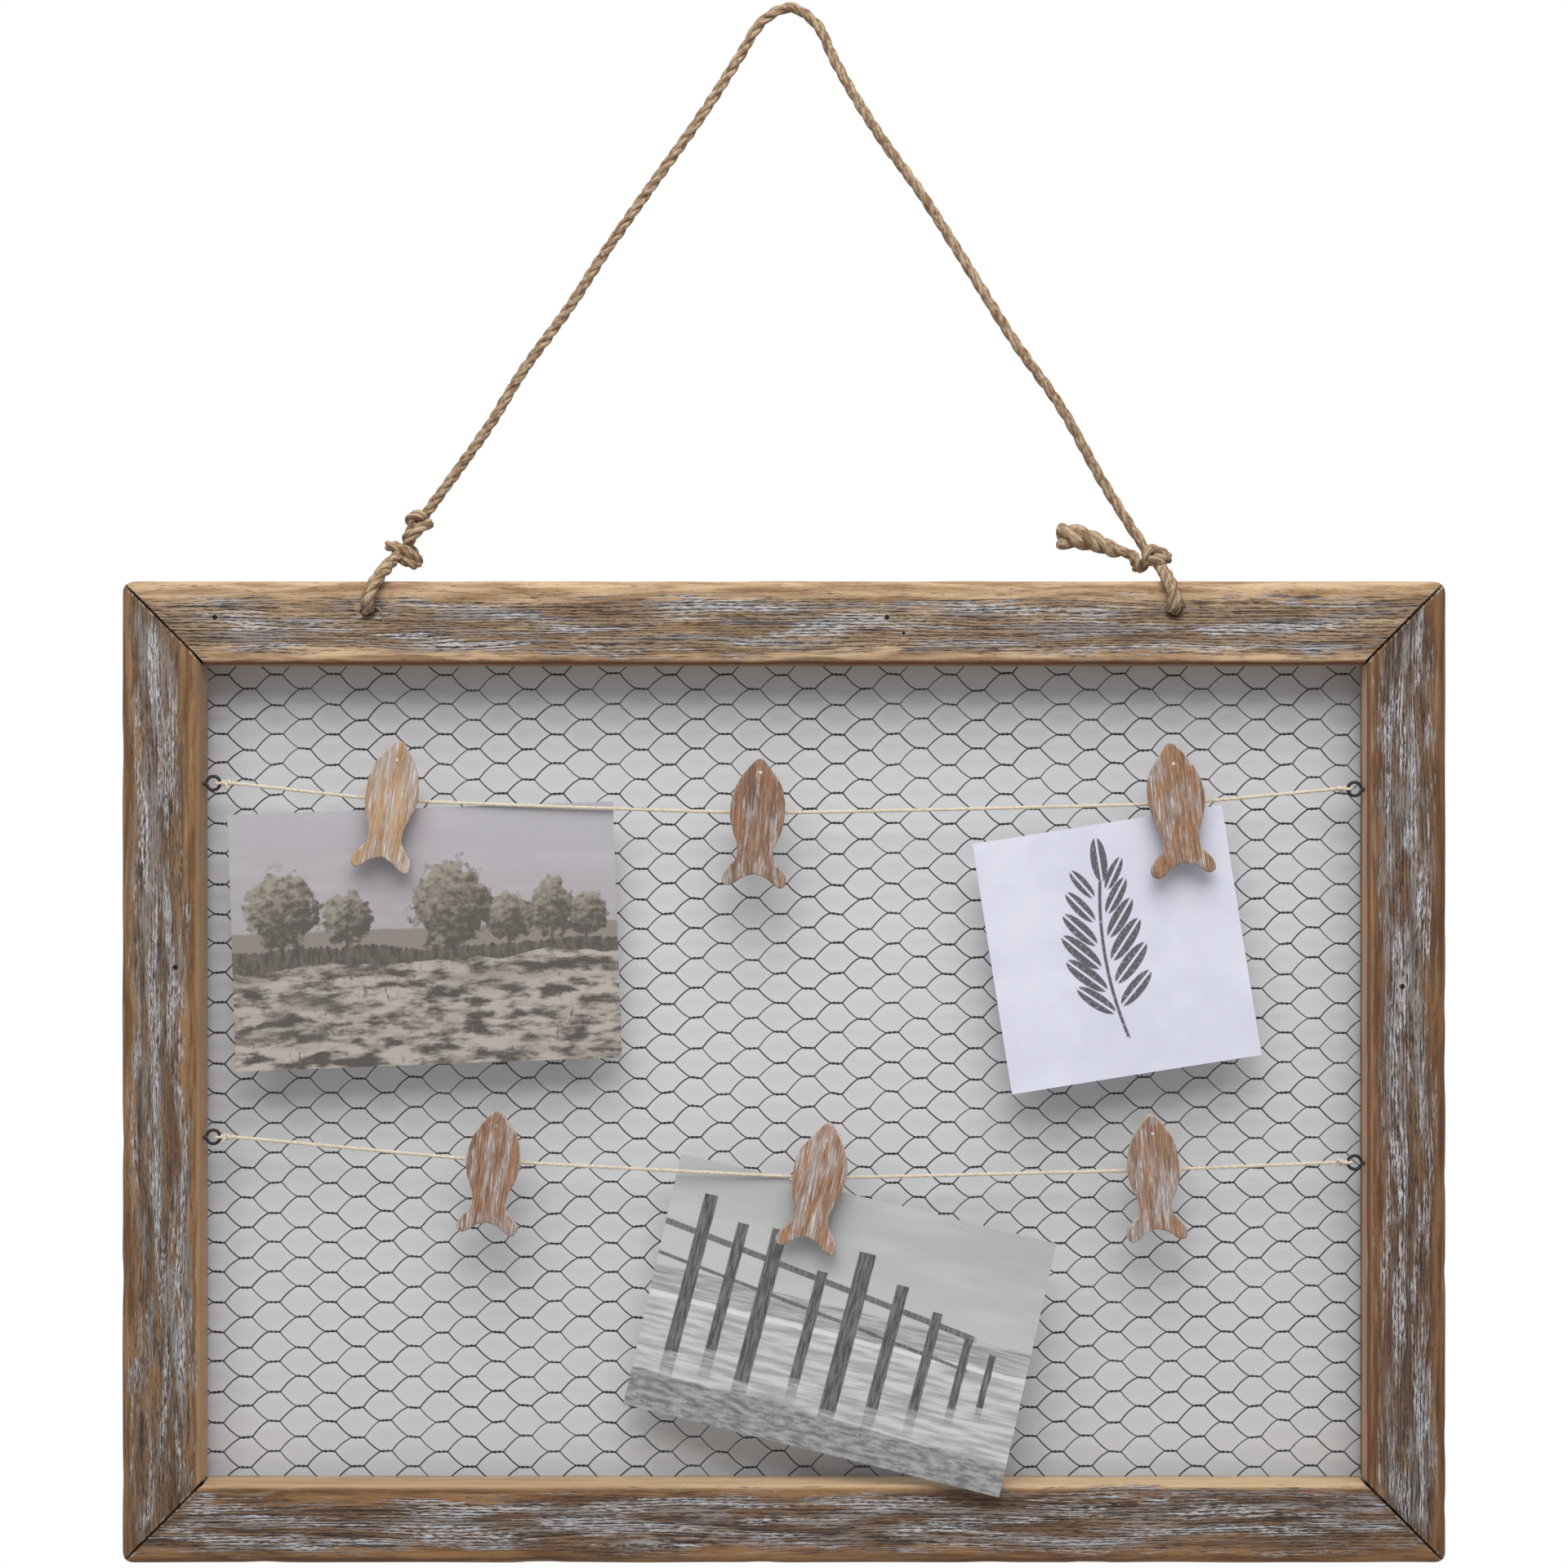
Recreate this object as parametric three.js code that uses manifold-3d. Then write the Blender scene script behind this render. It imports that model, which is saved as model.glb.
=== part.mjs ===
// Wall picture frame: four mitred wooden rails round a hexagonal wire net, with two
// cotton lines between screw eyes, six fish pegs on the lines, three sheets of paper
// in the pegs, and a rope through the top rail that hangs over one nail.
// Millimetres. +X to the right and +Z up as seen from the front, which faces -Y.
// The origin is where the rope's bend sits on the nail.

import * as THREE from 'three';
import { mergeVertices } from 'three/addons/utils/BufferGeometryUtils.js';
import Module from 'manifold-3d';

const wasm = await Module();
wasm.setup();

// Shared clearances
const seatGap = 0.3;
const cutOverrun = 4;
const weldDistance = 0.0002;

// Frame and rails
const frameWidth = 515;
const frameHeight = 382;
const railWidth = 31;
const railFront = 16;
const railBack = 4;
const outerFrontRound = 5;
const innerFrontRound = 1.6;
const backRound = 1.2;
const cornerRound = 3.5;
const mitreGap = 0.6;
const rabbetWidth = 7;
const rabbetDepth = 5;

// The frame's centre from the nail
const centreAcross = -2.6;
const centreBehind = -6.4;
const centreDown = 417.1;

// Rope
const ropeRadius = 2.1;
const ropeSides = 8;
const ropeSteps = 60;
const ropeHoleRadius = 2.75;
const ropeHoleBelowTop = 10.9;
const leftRopeHoleIn = 95.8;
const rightRopeHoleIn = 106.3;
const drillSides = 20;

// Wire net
const netColumns = 17;
const netHalfRows = 23;
const netThickness = 1;
const netWire = 1;
const netTwist = 1.8;
const netBorder = 1.4;
const twistShare = 0.25;

// Staples that hold the net's border in the rabbet
const stapleWire = 0.7;
const stapleDepth = 5;
const stapleRoom = 0.5;
const topStapleColumns = [-6, 0, 6];
const sideStapleRows = [-3, 3];

// V-nails across the back of each mitre
const vNailWing = 6;
const vNailThickness = 0.6;
const vNailDepth = 8;
const vNailPlaceShare = 0.62;

// Screw eyes
const eyeRadius = 2.65;
const eyeWire = 0.65;
const eyeStandOff = 3.9;
const eyeShank = 9;
const eyeBehindFront = 6;
const eyeDropShares = { upperLeft: 0.2058, upperRight: 0.2118, lowerLeft: 0.567, lowerRight: 0.5932 };

// Cotton lines
const lineRadius = 0.75;
const lineSides = 8;
const lineSteps = 34;
const lineLoopGap = 0.25;
const lineSag = 10.4;
const lineKnotLength = 6.3;
const lineKnotRadius = 1.35;

// Pegs
const pegWidth = 7;
const legThickness = 4;
const jawLength = 15;
const jawTipThickness = 1.9;
const jawTaper = 9;
const jawLead = 0.6;
const jawHalfGap = 0.5;
const handleLength = 15;
const handleSpread = 2;
const handleRound = 1;
const notchRadius = 1.6;
const pivotAbove = 4.5;

// Peg springs
const springRadius = 0.4;
const coilRadius = 1.45;
const coilTurns = 3;
const armReach = 2.6;
const stepsPerTurn = 8;
const springSides = 5;

// Fish
const fishLength = 50;
const fishWidth = 22;
const fishThickness = 4.5;
const fishEdge = 0.7;
const noseAbovePeg = 7;

// Paper
const paperThickness = 0.3;
const printLong = 150;
const printShort = 100;
const cardSide = 98.5;
const edgeBelowLine = 3.6;
const sheetOffRail = 0.6;
const sheetPull = 10;

// Each peg's place as a share of half the opening, its line's sag there as a share of
// the whole sag, and its turns in degrees: the lean in the frame's plane and the twist
// about the upright. A fish can be glued on at an angle.
const pegs = [
  { line: 'upper', placeShare: -0.674, sagShare: 0.59, lean: 8.6, fishLean: 0, twist: 2 },
  { line: 'upper', placeShare: -0.045, sagShare: 1, lean: 3.4, fishLean: 0, twist: 0 },
  { line: 'upper', placeShare: 0.672, sagShare: 0.56, lean: -6.4, fishLean: 0, twist: 0 },
  { line: 'lower', placeShare: -0.498, sagShare: 0.66, lean: 5.5, fishLean: 0, twist: 0 },
  { line: 'lower', placeShare: 0.062, sagShare: 1, lean: 7, fishLean: 4, twist: -4.4 },
  { line: 'lower', placeShare: 0.633, sagShare: 0.45, lean: -3.3, fishLean: 0, twist: 0 },
];

// Each sheet's peg, where that peg bites as a share of half the sheet's width, and the
// sheet's clockwise turn in the jaws in degrees
const sheets = [
  { name: 'print_left', peg: 0, wide: printLong, high: printShort, biteShare: -0.144, turn: -2 },
  { name: 'print_lower', peg: 4, wide: printLong, high: printShort, biteShare: -0.267, turn: 13 },
  { name: 'card_right', peg: 2, wide: cardSide, high: cardSide, biteShare: 0.63, turn: -8.9 },
];

// Half of the fish's outline from nose to tail notch: shares of half its width and of
// its length.
const fishShares = [
  [0, 0], [0.2, 0.016], [0.5, 0.085], [0.8, 0.19], [0.96, 0.29], [1, 0.39], [0.95, 0.5],
  [0.8, 0.61], [0.62, 0.71], [0.63, 0.78], [0.88, 0.87], [1.13, 0.94], [1.08, 0.99],
  [0.72, 0.965], [0.3, 0.91], [0, 0.895],
];

// Points of the rope between its two knots, from the nail
const ropeRoute = [
  [-118.2, -7.2, -163.7], [-105.4, -6.3, -142.7],
  [-86.2, -5.1, -115.9], [-73.4, -4.2, -95.8], [-54.2, -3, -68.1], [-34.8, -1.8, -40.5],
  [-20.3, -0.9, -17.7], [-10.7, -0.2, -3], [0, 0, 2.1], [10.3, -0.3, -4.6],
  [16.8, -0.9, -17.7], [24.8, -1.5, -32.3], [36.1, -2.3, -50.3], [52.2, -3.2, -73],
  [71.5, -4.6, -103.9], [87.5, -5.7, -129.8], [106.6, -6.9, -157.3],
  [122.6, -8.2, -186.3],
];

// Points of each knot's strand, from the middle of its rope hole: out of the knot, over
// the rail's front edge, through the hole and up the back
const leftStrap = [
  [13.4, -4, 24.1], [9.7, -12, 19.3], [5.2, -17.8, 13], [1.7, -19.6, 6.6],
  [0.1, -18.7, 1.7], [0, -16.6, 0.2], [0, -13, 0], [0, -6, 0], [0, 1, 0], [0, 4.9, 0.5],
  [0.2, 6.9, 3.4], [2.7, 7, 10], [8, 4.4, 17.4], [12.4, 0, 22.4],
];
const rightStrap = [
  [-7.7, -4, 21.4], [-5.7, -12, 18], [-3.2, -17.8, 12.5], [-0.9, -19.6, 6.6],
  [0, -18.7, 1.7], [0, -16.6, 0.2], [0, -13, 0], [0, -6, 0], [0, 1, 0], [0, 4.9, 0.5],
  [-0.1, 6.9, 3.4], [-1.7, 7, 10], [-4.6, 4.4, 16], [-6.6, 0, 20],
];
// The turns of each knot, from the same point
const leftTurns = [
  [[6, -6.4, 24.2], [10, -7.4, 23.4], [14, -7.6, 21.4], [17, -5.4, 19],
    [17, -1.4, 19.2], [14, 0.6, 22.4], [11.6, 0.4, 26], [13.2, -3, 29], [17.6, -4.6, 33]],
  [[14, -4, 25.5], [16.5, -6.6, 29], [20, -6.8, 32.4], [24.2, -6, 34.3]],
];
const rightTurns = [
  [[-43, -9, 28.8], [-36, -9.4, 28.8], [-28, -9.6, 27.2], [-20, -9.4, 24],
    [-13, -8.8, 20.6], [-7.4, -8.2, 18.8], [-2.6, -6.4, 20.4], [-1.6, -2.4, 23.6],
    [-4.8, 0.6, 25.6], [-10, -0.2, 24.6], [-13, -3.4, 25]],
];
// Where the hanger rope's ends meet the knots, from the same hole centres
const leftNeck = [[13.4, -4, 24.1], [17.4, -3.2, 32.4], [21.6, -2.4, 38.6]];
const rightNeck = [[-7.7, -4, 21.4], [-10.2, -3.4, 25.4], [-13, -3.1, 29.7]];

const weatheredWood = new THREE.MeshStandardMaterial({ color: 0x9a7350, roughness: 0.85 });
const fishWood = new THREE.MeshStandardMaterial({ color: 0xb07a4a, roughness: 0.75 });
const pegWood = new THREE.MeshStandardMaterial({ color: 0xd9b88a, roughness: 0.7 });
const blackWire = new THREE.MeshStandardMaterial({ color: 0x2a2a2c, roughness: 0.5, metalness: 0.6 });
const steel = new THREE.MeshStandardMaterial({ color: 0xa8a9ab, roughness: 0.35, metalness: 0.9 });
const cotton = new THREE.MeshStandardMaterial({ color: 0xe6dcc8, roughness: 0.95 });
const jute = new THREE.MeshStandardMaterial({ color: 0xa88a62, roughness: 0.95 });
const printPaper = new THREE.MeshStandardMaterial({ color: 0xb9b5b0, roughness: 0.45 });
const cardPaper = new THREE.MeshStandardMaterial({ color: 0xd9dae6, roughness: 0.8 });

const halfOpeningWide = frameWidth / 2 - railWidth;
const halfOpeningHigh = frameHeight / 2 - railWidth;
const alongX = new THREE.Matrix4().makeBasis(
  new THREE.Vector3(0, 1, 0), new THREE.Vector3(0, 0, 1), new THREE.Vector3(1, 0, 0));
const alongY = new THREE.Matrix4().makeBasis(
  new THREE.Vector3(1, 0, 0), new THREE.Vector3(0, 0, 1), new THREE.Vector3(0, -1, 0));

function radians(degrees) {
  return THREE.MathUtils.degToRad(degrees);
}

function vectors(points) {
  return points.map(([x, y, z]) => new THREE.Vector3(x, y, z));
}

// A closed geometry as a solid that can be cut and joined
function solid(geometry) {
  const bare = geometry.clone();
  bare.deleteAttribute('normal');
  bare.deleteAttribute('uv');
  const merged = mergeVertices(bare, weldDistance);
  return new wasm.Manifold(new wasm.Mesh({
    numProp: 3,
    vertProperties: merged.attributes.position.array,
    triVerts: new Uint32Array(merged.index.array),
  }));
}

function geometryOf(body) {
  const mesh = body.getMesh();
  const geometry = new THREE.BufferGeometry();
  geometry.setAttribute('position', new THREE.BufferAttribute(mesh.vertProperties, 3));
  geometry.setIndex(new THREE.BufferAttribute(mesh.triVerts, 1));
  geometry.computeVertexNormals();
  return geometry;
}

function named(name, geometry, material) {
  const mesh = new THREE.Mesh(geometry, material);
  mesh.name = name;
  return mesh;
}

// A closed outline through points, each a pair of places
function outline(points) {
  return new THREE.Shape(points.map(([x, y]) => new THREE.Vector2(x, y)));
}

// An outline in Y and Z drawn out along X, centred on X = 0
function drawnAlongX(shape, length, curveSegments) {
  const geometry = new THREE.ExtrudeGeometry(shape, { depth: length, bevelEnabled: false, curveSegments });
  geometry.translate(0, 0, -length / 2);
  return geometry.applyMatrix4(alongX);
}

// An outline in X and Z drawn out along Y, from front to back
function drawnAlongY(shape, front, back, curveSegments) {
  const depth = back - front;
  const geometry = new THREE.ExtrudeGeometry(shape, { depth, bevelEnabled: false, curveSegments });
  return geometry.applyMatrix4(alongY).translate(0, back, 0);
}

function box(low, high) {
  const size = high.map((value, k) => value - low[k]);
  const middle = high.map((value, k) => (value + low[k]) / 2);
  return new THREE.BoxGeometry(...size).translate(...middle);
}

// A round section with the given number of sides, drawn along a smooth line
function tube(points, radius, sides, steps) {
  const corners = Array.from({ length: sides }, (_, k) => {
    const angle = (2 * Math.PI * k) / sides;
    return [radius * Math.cos(angle), radius * Math.sin(angle)];
  });
  const extrudePath = new THREE.CatmullRomCurve3(points, false, 'centripetal');
  return new THREE.ExtrudeGeometry(outline(corners), { steps, extrudePath });
}

function roundedRectangle(halfWide, halfHigh, radius) {
  const shape = new THREE.Shape();
  shape.moveTo(halfWide - radius, -halfHigh);
  shape.absarc(halfWide - radius, radius - halfHigh, radius, -Math.PI / 2, 0);
  shape.absarc(halfWide - radius, halfHigh - radius, radius, 0, Math.PI / 2);
  shape.absarc(radius - halfWide, halfHigh - radius, radius, Math.PI / 2, Math.PI);
  shape.absarc(radius - halfWide, radius - halfHigh, radius, Math.PI, Math.PI * 1.5);
  shape.closePath();
  return shape;
}

// A rail's section: Y across its depth and Z outwards from the frame's centre, with a
// broad worn round on the outer front edge and a rabbet for the net at the back
function railSection(inner, outer) {
  const shape = new THREE.Shape();
  const ledge = railBack - rabbetDepth;
  shape.moveTo(ledge, inner);
  shape.lineTo(ledge, inner + rabbetWidth);
  shape.lineTo(railBack, inner + rabbetWidth);
  shape.lineTo(railBack, outer - backRound);
  shape.absarc(railBack - backRound, outer - backRound, backRound, 0, Math.PI / 2);
  shape.absarc(outerFrontRound - railFront, outer - outerFrontRound, outerFrontRound,
    Math.PI / 2, Math.PI);
  shape.absarc(innerFrontRound - railFront, inner + innerFrontRound, innerFrontRound,
    Math.PI, Math.PI * 1.5);
  shape.closePath();
  return shape;
}

// Both ends of a rail at 45 degrees, each half the mitre gap short of the corner's line
function mitreLimits(half, inner, outer) {
  const back = mitreGap * Math.SQRT1_2;
  const far = outer + cutOverrun;
  const near = inner - cutOverrun;
  const sideways = half - outer - back;
  return outline([[-sideways - near, near], [sideways + near, near],
    [sideways + far, far], [-sideways - far, far]]);
}

// A V-nail in the frame's plane, its point towards the corner, grown by a margin
function vNailOutline(margin) {
  const half = vNailThickness / 2 + margin;
  const wing = vNailWing + margin;
  const tip = half * Math.SQRT2;
  const side = wing * Math.SQRT1_2;
  const out = half * Math.SQRT1_2;
  return outline([[0, tip], [-side - out, out - side], [out - side, -side - out],
    [0, -tip], [side - out, -side - out], [side + out, out - side]]);
}

// A V-nail, or the slot it is driven into, seen from a frame corner: corners are given
// by the signs of X and Z
function vNail(signX, signZ, margin) {
  const front = railBack - vNailDepth - margin;
  const back = margin ? railBack + cutOverrun : railBack - seatGap;
  const inset = railWidth * (1 - vNailPlaceShare);
  const geometry = drawnAlongY(vNailOutline(margin), front, back);
  geometry.rotateY(Math.atan2(signX, signZ));
  return geometry.translate(signX * (frameWidth / 2 - inset), 0, signZ * (frameHeight / 2 - inset));
}

// The net's outer size, and the pitch of its columns and rows
const borderFromRabbet = stapleWire + 2 * stapleRoom;
const netHalfWide = halfOpeningWide + rabbetWidth - borderFromRabbet;
const netHalfHigh = halfOpeningHigh + rabbetWidth - borderFromRabbet;
const columnPitch = (2 * netHalfWide) / netColumns;
const rowPitch = (4 * netHalfHigh) / netHalfRows;

// One gap of the net: flat above and below, where the wires are twisted together, and
// pointed at the sides, between single wires
function netGap(acrossAt, upAt) {
  const flat = columnPitch * twistShare;
  const point = columnPitch - flat;
  const top = rowPitch / 2 - netTwist / 2;
  const slope = (rowPitch / 2) / (point - flat);
  const thin = (netWire / 2) * Math.hypot(1, slope) / slope;
  const flatEnd = point - thin - top / slope;
  const corners = [[point - thin, 0], [flatEnd, top], [-flatEnd, top],
    [thin - point, 0], [-flatEnd, -top], [flatEnd, -top]];
  return outline(corners.map(([x, z]) => [x + acrossAt, z + upAt]));
}

function wireNet() {
  const cut = netThickness / 2 + cutOverrun;
  const gaps = [];
  const lastColumn = Math.ceil(netColumns / 2) + 1;
  const lastRow = Math.ceil(netHalfRows / 4) + 1;
  for (let column = -lastColumn; column <= lastColumn; column += 1) {
    const offset = Math.abs(column % 2) / 2;
    for (let row = -lastRow; row <= lastRow; row += 1) {
      const gap = netGap(column * columnPitch, (row + offset) * rowPitch);
      gaps.push(solid(drawnAlongY(gap, -cut, cut)));
    }
  }
  const insideBorder = box(
    [netBorder - netHalfWide, -cut - seatGap, netBorder - netHalfHigh],
    [netHalfWide - netBorder, cut + seatGap, netHalfHigh - netBorder]);
  const plate = box([-netHalfWide, -netThickness / 2, -netHalfHigh],
    [netHalfWide, netThickness / 2, netHalfHigh]);
  const holes = wasm.Manifold.union(gaps).intersect(solid(insideBorder));
  return geometryOf(solid(plate).subtract(holes));
}

// A staple's places: X, Z and its turn in the frame's plane, so that it straddles the
// net's border with one leg against the rabbet's wall
function staplePlaces() {
  const reach = borderFromRabbet / 2 - (borderFromRabbet + netBorder) / 2;
  const places = [];
  for (const sign of [1, -1]) {
    for (const column of topStapleColumns) {
      places.push([column * columnPitch, sign * (netHalfHigh + reach), sign > 0 ? 0 : Math.PI]);
    }
    for (const row of sideStapleRows) {
      places.push([sign * (netHalfWide + reach), row * rowPitch, (sign * Math.PI) / 2]);
    }
  }
  return places;
}

const stapleHalfSpan = (borderFromRabbet + netBorder) / 2;

function stapleLeg(side, margin) {
  const half = stapleWire / 2 + margin;
  const bottom = railBack - rabbetDepth - stapleDepth - margin;
  const top = netThickness / 2 + seatGap + stapleWire / 2;
  return box([-half, bottom, side * stapleHalfSpan - half], [half, top, side * stapleHalfSpan + half]);
}

function staple() {
  const half = stapleWire / 2;
  const under = netThickness / 2 + seatGap;
  const crown = box([-half, under, -stapleHalfSpan - half], [half, under + stapleWire, stapleHalfSpan + half]);
  return geometryOf(solid(crown).add(solid(stapleLeg(1, 0))).add(solid(stapleLeg(-1, 0))));
}

function placedOnNet(geometry, [across, up, turn]) {
  return geometry.rotateY(turn).translate(across, 0, up);
}

// The middle of each screw eye's ring
function eyePlace(side, dropShare) {
  return new THREE.Vector3(side * (halfOpeningWide - eyeStandOff), eyeBehindFront - railFront,
    frameHeight / 2 - dropShare * frameHeight);
}

const eyes = {
  upperLeft: eyePlace(-1, eyeDropShares.upperLeft),
  upperRight: eyePlace(1, eyeDropShares.upperRight),
  lowerLeft: eyePlace(-1, eyeDropShares.lowerLeft),
  lowerRight: eyePlace(1, eyeDropShares.lowerRight),
};

// A shank along X from the ring into the rail on that side
function shank(side, radius, length, sides) {
  const cylinder = new THREE.CylinderGeometry(radius, radius, length, sides);
  return cylinder.rotateZ(Math.PI / 2).translate(side * (eyeRadius + length / 2), 0, 0);
}

function screwEye(side) {
  const ring = new THREE.TorusGeometry(eyeRadius, eyeWire, 6, 16).rotateX(Math.PI / 2);
  return geometryOf(solid(ring).add(solid(shank(side, eyeWire, eyeShank, 8))));
}

function shankHole(side, place) {
  const hole = shank(side, eyeWire + seatGap, eyeShank + seatGap, 12);
  return solid(hole.translate(place.x, place.y, place.z));
}

// The holes that the rope passes through, in the frame's own coordinates
const ropeHoles = [leftRopeHoleIn - frameWidth / 2, frameWidth / 2 - rightRopeHoleIn].map(
  (across) => new THREE.Vector3(across, 0, frameHeight / 2 - ropeHoleBelowTop));

function ropeHole(place) {
  const length = railFront + railBack + 2 * cutOverrun;
  const drill = new THREE.CylinderGeometry(ropeHoleRadius, ropeHoleRadius, length, drillSides);
  return solid(drill.translate(place.x, (railBack - railFront) / 2, place.z));
}

// A rail on the side that the turn about Y points to, cut for all that it holds
function rail(turn, length, height, cuts) {
  const outer = height / 2;
  const inner = outer - railWidth;
  const front = -railFront - cutOverrun;
  const back = railBack + cutOverrun;
  const bar = solid(drawnAlongX(railSection(inner, outer), length + cutOverrun, 5))
    .intersect(solid(drawnAlongY(mitreLimits(length / 2, inner, outer), front, back)))
    .intersect(solid(drawnAlongY(roundedRectangle(length / 2, outer, cornerRound), front, back, 3)));
  let turned = solid(geometryOf(bar).rotateY(turn));
  for (const cut of cuts) {
    turned = turned.subtract(cut);
  }
  return geometryOf(turned);
}

function frameParts() {
  const quarter = Math.PI / 2;
  const staples = staplePlaces();
  const slots = staples.flatMap((place) => [1, -1].map(
    (side) => solid(placedOnNet(stapleLeg(side, seatGap), place))));
  const corners = [[-1, 1], [1, 1], [1, -1], [-1, -1]];
  const nailSlots = corners.map(([x, z]) => solid(vNail(x, z, seatGap)));
  const shared = [...slots, ...nailSlots];
  const leftHoles = [shankHole(-1, eyes.upperLeft), shankHole(-1, eyes.lowerLeft)];
  const rightHoles = [shankHole(1, eyes.upperRight), shankHole(1, eyes.lowerRight)];
  const topHoles = ropeHoles.map(ropeHole);
  const parts = [
    named('top_rail', rail(0, frameWidth, frameHeight, [...shared, ...topHoles]), weatheredWood),
    named('bottom_rail', rail(2 * quarter, frameWidth, frameHeight, shared), weatheredWood),
    named('left_rail', rail(-quarter, frameHeight, frameWidth, [...shared, ...leftHoles]), weatheredWood),
    named('right_rail', rail(quarter, frameHeight, frameWidth, [...shared, ...rightHoles]), weatheredWood),
    named('wire_net', wireNet(), blackWire),
  ];
  corners.forEach(([x, z], k) => {
    parts.push(named(`v_nail_${k + 1}`, vNail(x, z, 0), steel));
  });
  staples.forEach((place, k) => {
    parts.push(named(`net_staple_${k + 1}`, placedOnNet(staple(), place), steel));
  });
  return parts;
}

function eyeParts() {
  const places = [['screw_eye_upper_left', -1, eyes.upperLeft], ['screw_eye_upper_right', 1, eyes.upperRight],
    ['screw_eye_lower_left', -1, eyes.lowerLeft], ['screw_eye_lower_right', 1, eyes.lowerRight]];
  return places.map(([name, side, place]) => {
    const eye = named(name, screwEye(side), blackWire);
    eye.position.copy(place);
    return eye;
  });
}

const lineEnds = {
  upper: [eyes.upperLeft, eyes.upperRight],
  lower: [eyes.lowerLeft, eyes.lowerRight],
};

// Where a peg's notch holds its line: below the straight line between the two eyes
function notchPlace(peg) {
  const [left, right] = lineEnds[peg.line];
  const across = peg.placeShare * halfOpeningWide;
  const along = (across - left.x) / (right.x - left.x);
  const chord = left.z + along * (right.z - left.z);
  return new THREE.Vector3(across, left.y, chord - peg.sagShare * lineSag);
}

// The points where a line changes direction: its eyes and its pegs
function lineCorners(name) {
  const [left, right] = lineEnds[name];
  const onLine = pegs.filter((peg) => peg.line === name).map(notchPlace);
  return [left, ...onLine, right];
}

// The direction in which a peg slides: half way between its line's two stretches
function slideDirection(corners, k) {
  const before = corners[k].clone().sub(corners[k - 1]).normalize();
  const after = corners[k + 1].clone().sub(corners[k]).normalize();
  return before.add(after).normalize();
}

// One end of a line: a loop through the screw eye's ring, and the knot that closes it
function lineEnd(eye, towards) {
  const loopRadius = eyeWire + lineLoopGap + lineRadius;
  const loopAt = eye.clone().addScaledVector(towards, eyeRadius);
  const loop = new THREE.TorusGeometry(loopRadius, lineRadius, 6, 12);
  loop.translate(loopAt.x, loopAt.y, loopAt.z);
  const knotMiddle = loopAt.clone().addScaledVector(towards, loopRadius + lineKnotLength / 2);
  const profile = [[0, -0.5], [0.6, -0.5], [1, -0.25], [0.85, 0], [1, 0.25], [0.6, 0.5], [0, 0.5]].map(
    ([across, along]) => new THREE.Vector2(across * lineKnotRadius, along * lineKnotLength));
  const knot = new THREE.LatheGeometry(profile, 10).rotateZ(Math.PI / 2);
  knot.translate(knotMiddle.x, knotMiddle.y, knotMiddle.z);
  return { body: solid(loop).add(solid(knot)), start: knotMiddle };
}

function cottonLine(name) {
  const corners = lineCorners(name);
  const last = corners.length - 1;
  const first = lineEnd(corners[0], new THREE.Vector3(1, 0, 0));
  const second = lineEnd(corners[last], new THREE.Vector3(-1, 0, 0));
  const route = [first.start];
  for (let k = 1; k < last; k += 1) {
    const direction = slideDirection(corners, k);
    route.push(corners[k].clone().addScaledVector(direction, -pegWidth));
    route.push(corners[k].clone().addScaledVector(direction, pegWidth));
  }
  route.push(second.start);
  const run = solid(tube(route, lineRadius, lineSides, lineSteps));
  return geometryOf(run.add(first.body).add(second.body));
}

// A peg leg's section in Y and Z, for the leg behind the line: jaw below, handle above,
// a round notch for the line, a seat for the coil and a groove for the spring's arm
function legSection() {
  const outside = jawHalfGap + legThickness;
  const seat = coilRadius + springRadius + seatGap;
  const notchAngle = Math.acos(jawHalfGap / notchRadius);
  const seatAngle = Math.acos(jawHalfGap / seat);
  const grooveHalf = springRadius + seatGap;
  const grooveBottom = outside - 2 * springRadius - seatGap;
  const grooveAt = pivotAbove - coilRadius;
  const shape = new THREE.Shape();
  shape.moveTo(jawHalfGap + jawLead, -jawLength);
  shape.lineTo(jawHalfGap + jawTipThickness, -jawLength);
  shape.lineTo(outside, jawTaper - jawLength);
  shape.lineTo(outside, grooveAt - grooveHalf);
  shape.lineTo(grooveBottom, grooveAt - grooveHalf);
  shape.lineTo(grooveBottom, grooveAt + grooveHalf);
  shape.lineTo(outside, grooveAt + grooveHalf);
  shape.lineTo(outside, handleLength - handleRound);
  shape.lineTo(outside - handleRound, handleLength);
  shape.lineTo(jawHalfGap + handleSpread, handleLength);
  shape.absarc(0, pivotAbove, seat, seatAngle, -seatAngle, true);
  shape.absarc(0, 0, notchRadius, notchAngle, -notchAngle, true);
  shape.lineTo(jawHalfGap, 2 * jawLead - jawLength);
  shape.closePath();
  return shape;
}

// The spring: an arm in the back leg's groove, down its side, round the coil and out
// again to the front leg's groove
function springRoute() {
  const outside = jawHalfGap + legThickness - springRadius;
  const side = pegWidth / 2 + seatGap + springRadius;
  const low = pivotAbove - coilRadius;
  const corner = 2 * springRadius;
  const points = [
    new THREE.Vector3(armReach - side, outside, low),
    new THREE.Vector3(corner - side, outside, low),
    new THREE.Vector3(-side, outside - corner, low),
  ];
  const steps = coilTurns * stepsPerTurn;
  for (let k = 0; k <= steps; k += 1) {
    const share = k / steps;
    const angle = -2 * Math.PI * coilTurns * share;
    points.push(new THREE.Vector3((2 * share - 1) * side, coilRadius * Math.sin(angle),
      pivotAbove - coilRadius * Math.cos(angle)));
  }
  points.push(new THREE.Vector3(side, corner - outside, low));
  points.push(new THREE.Vector3(side - corner, -outside, low));
  points.push(new THREE.Vector3(side - armReach, -outside, low));
  return points;
}

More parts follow.
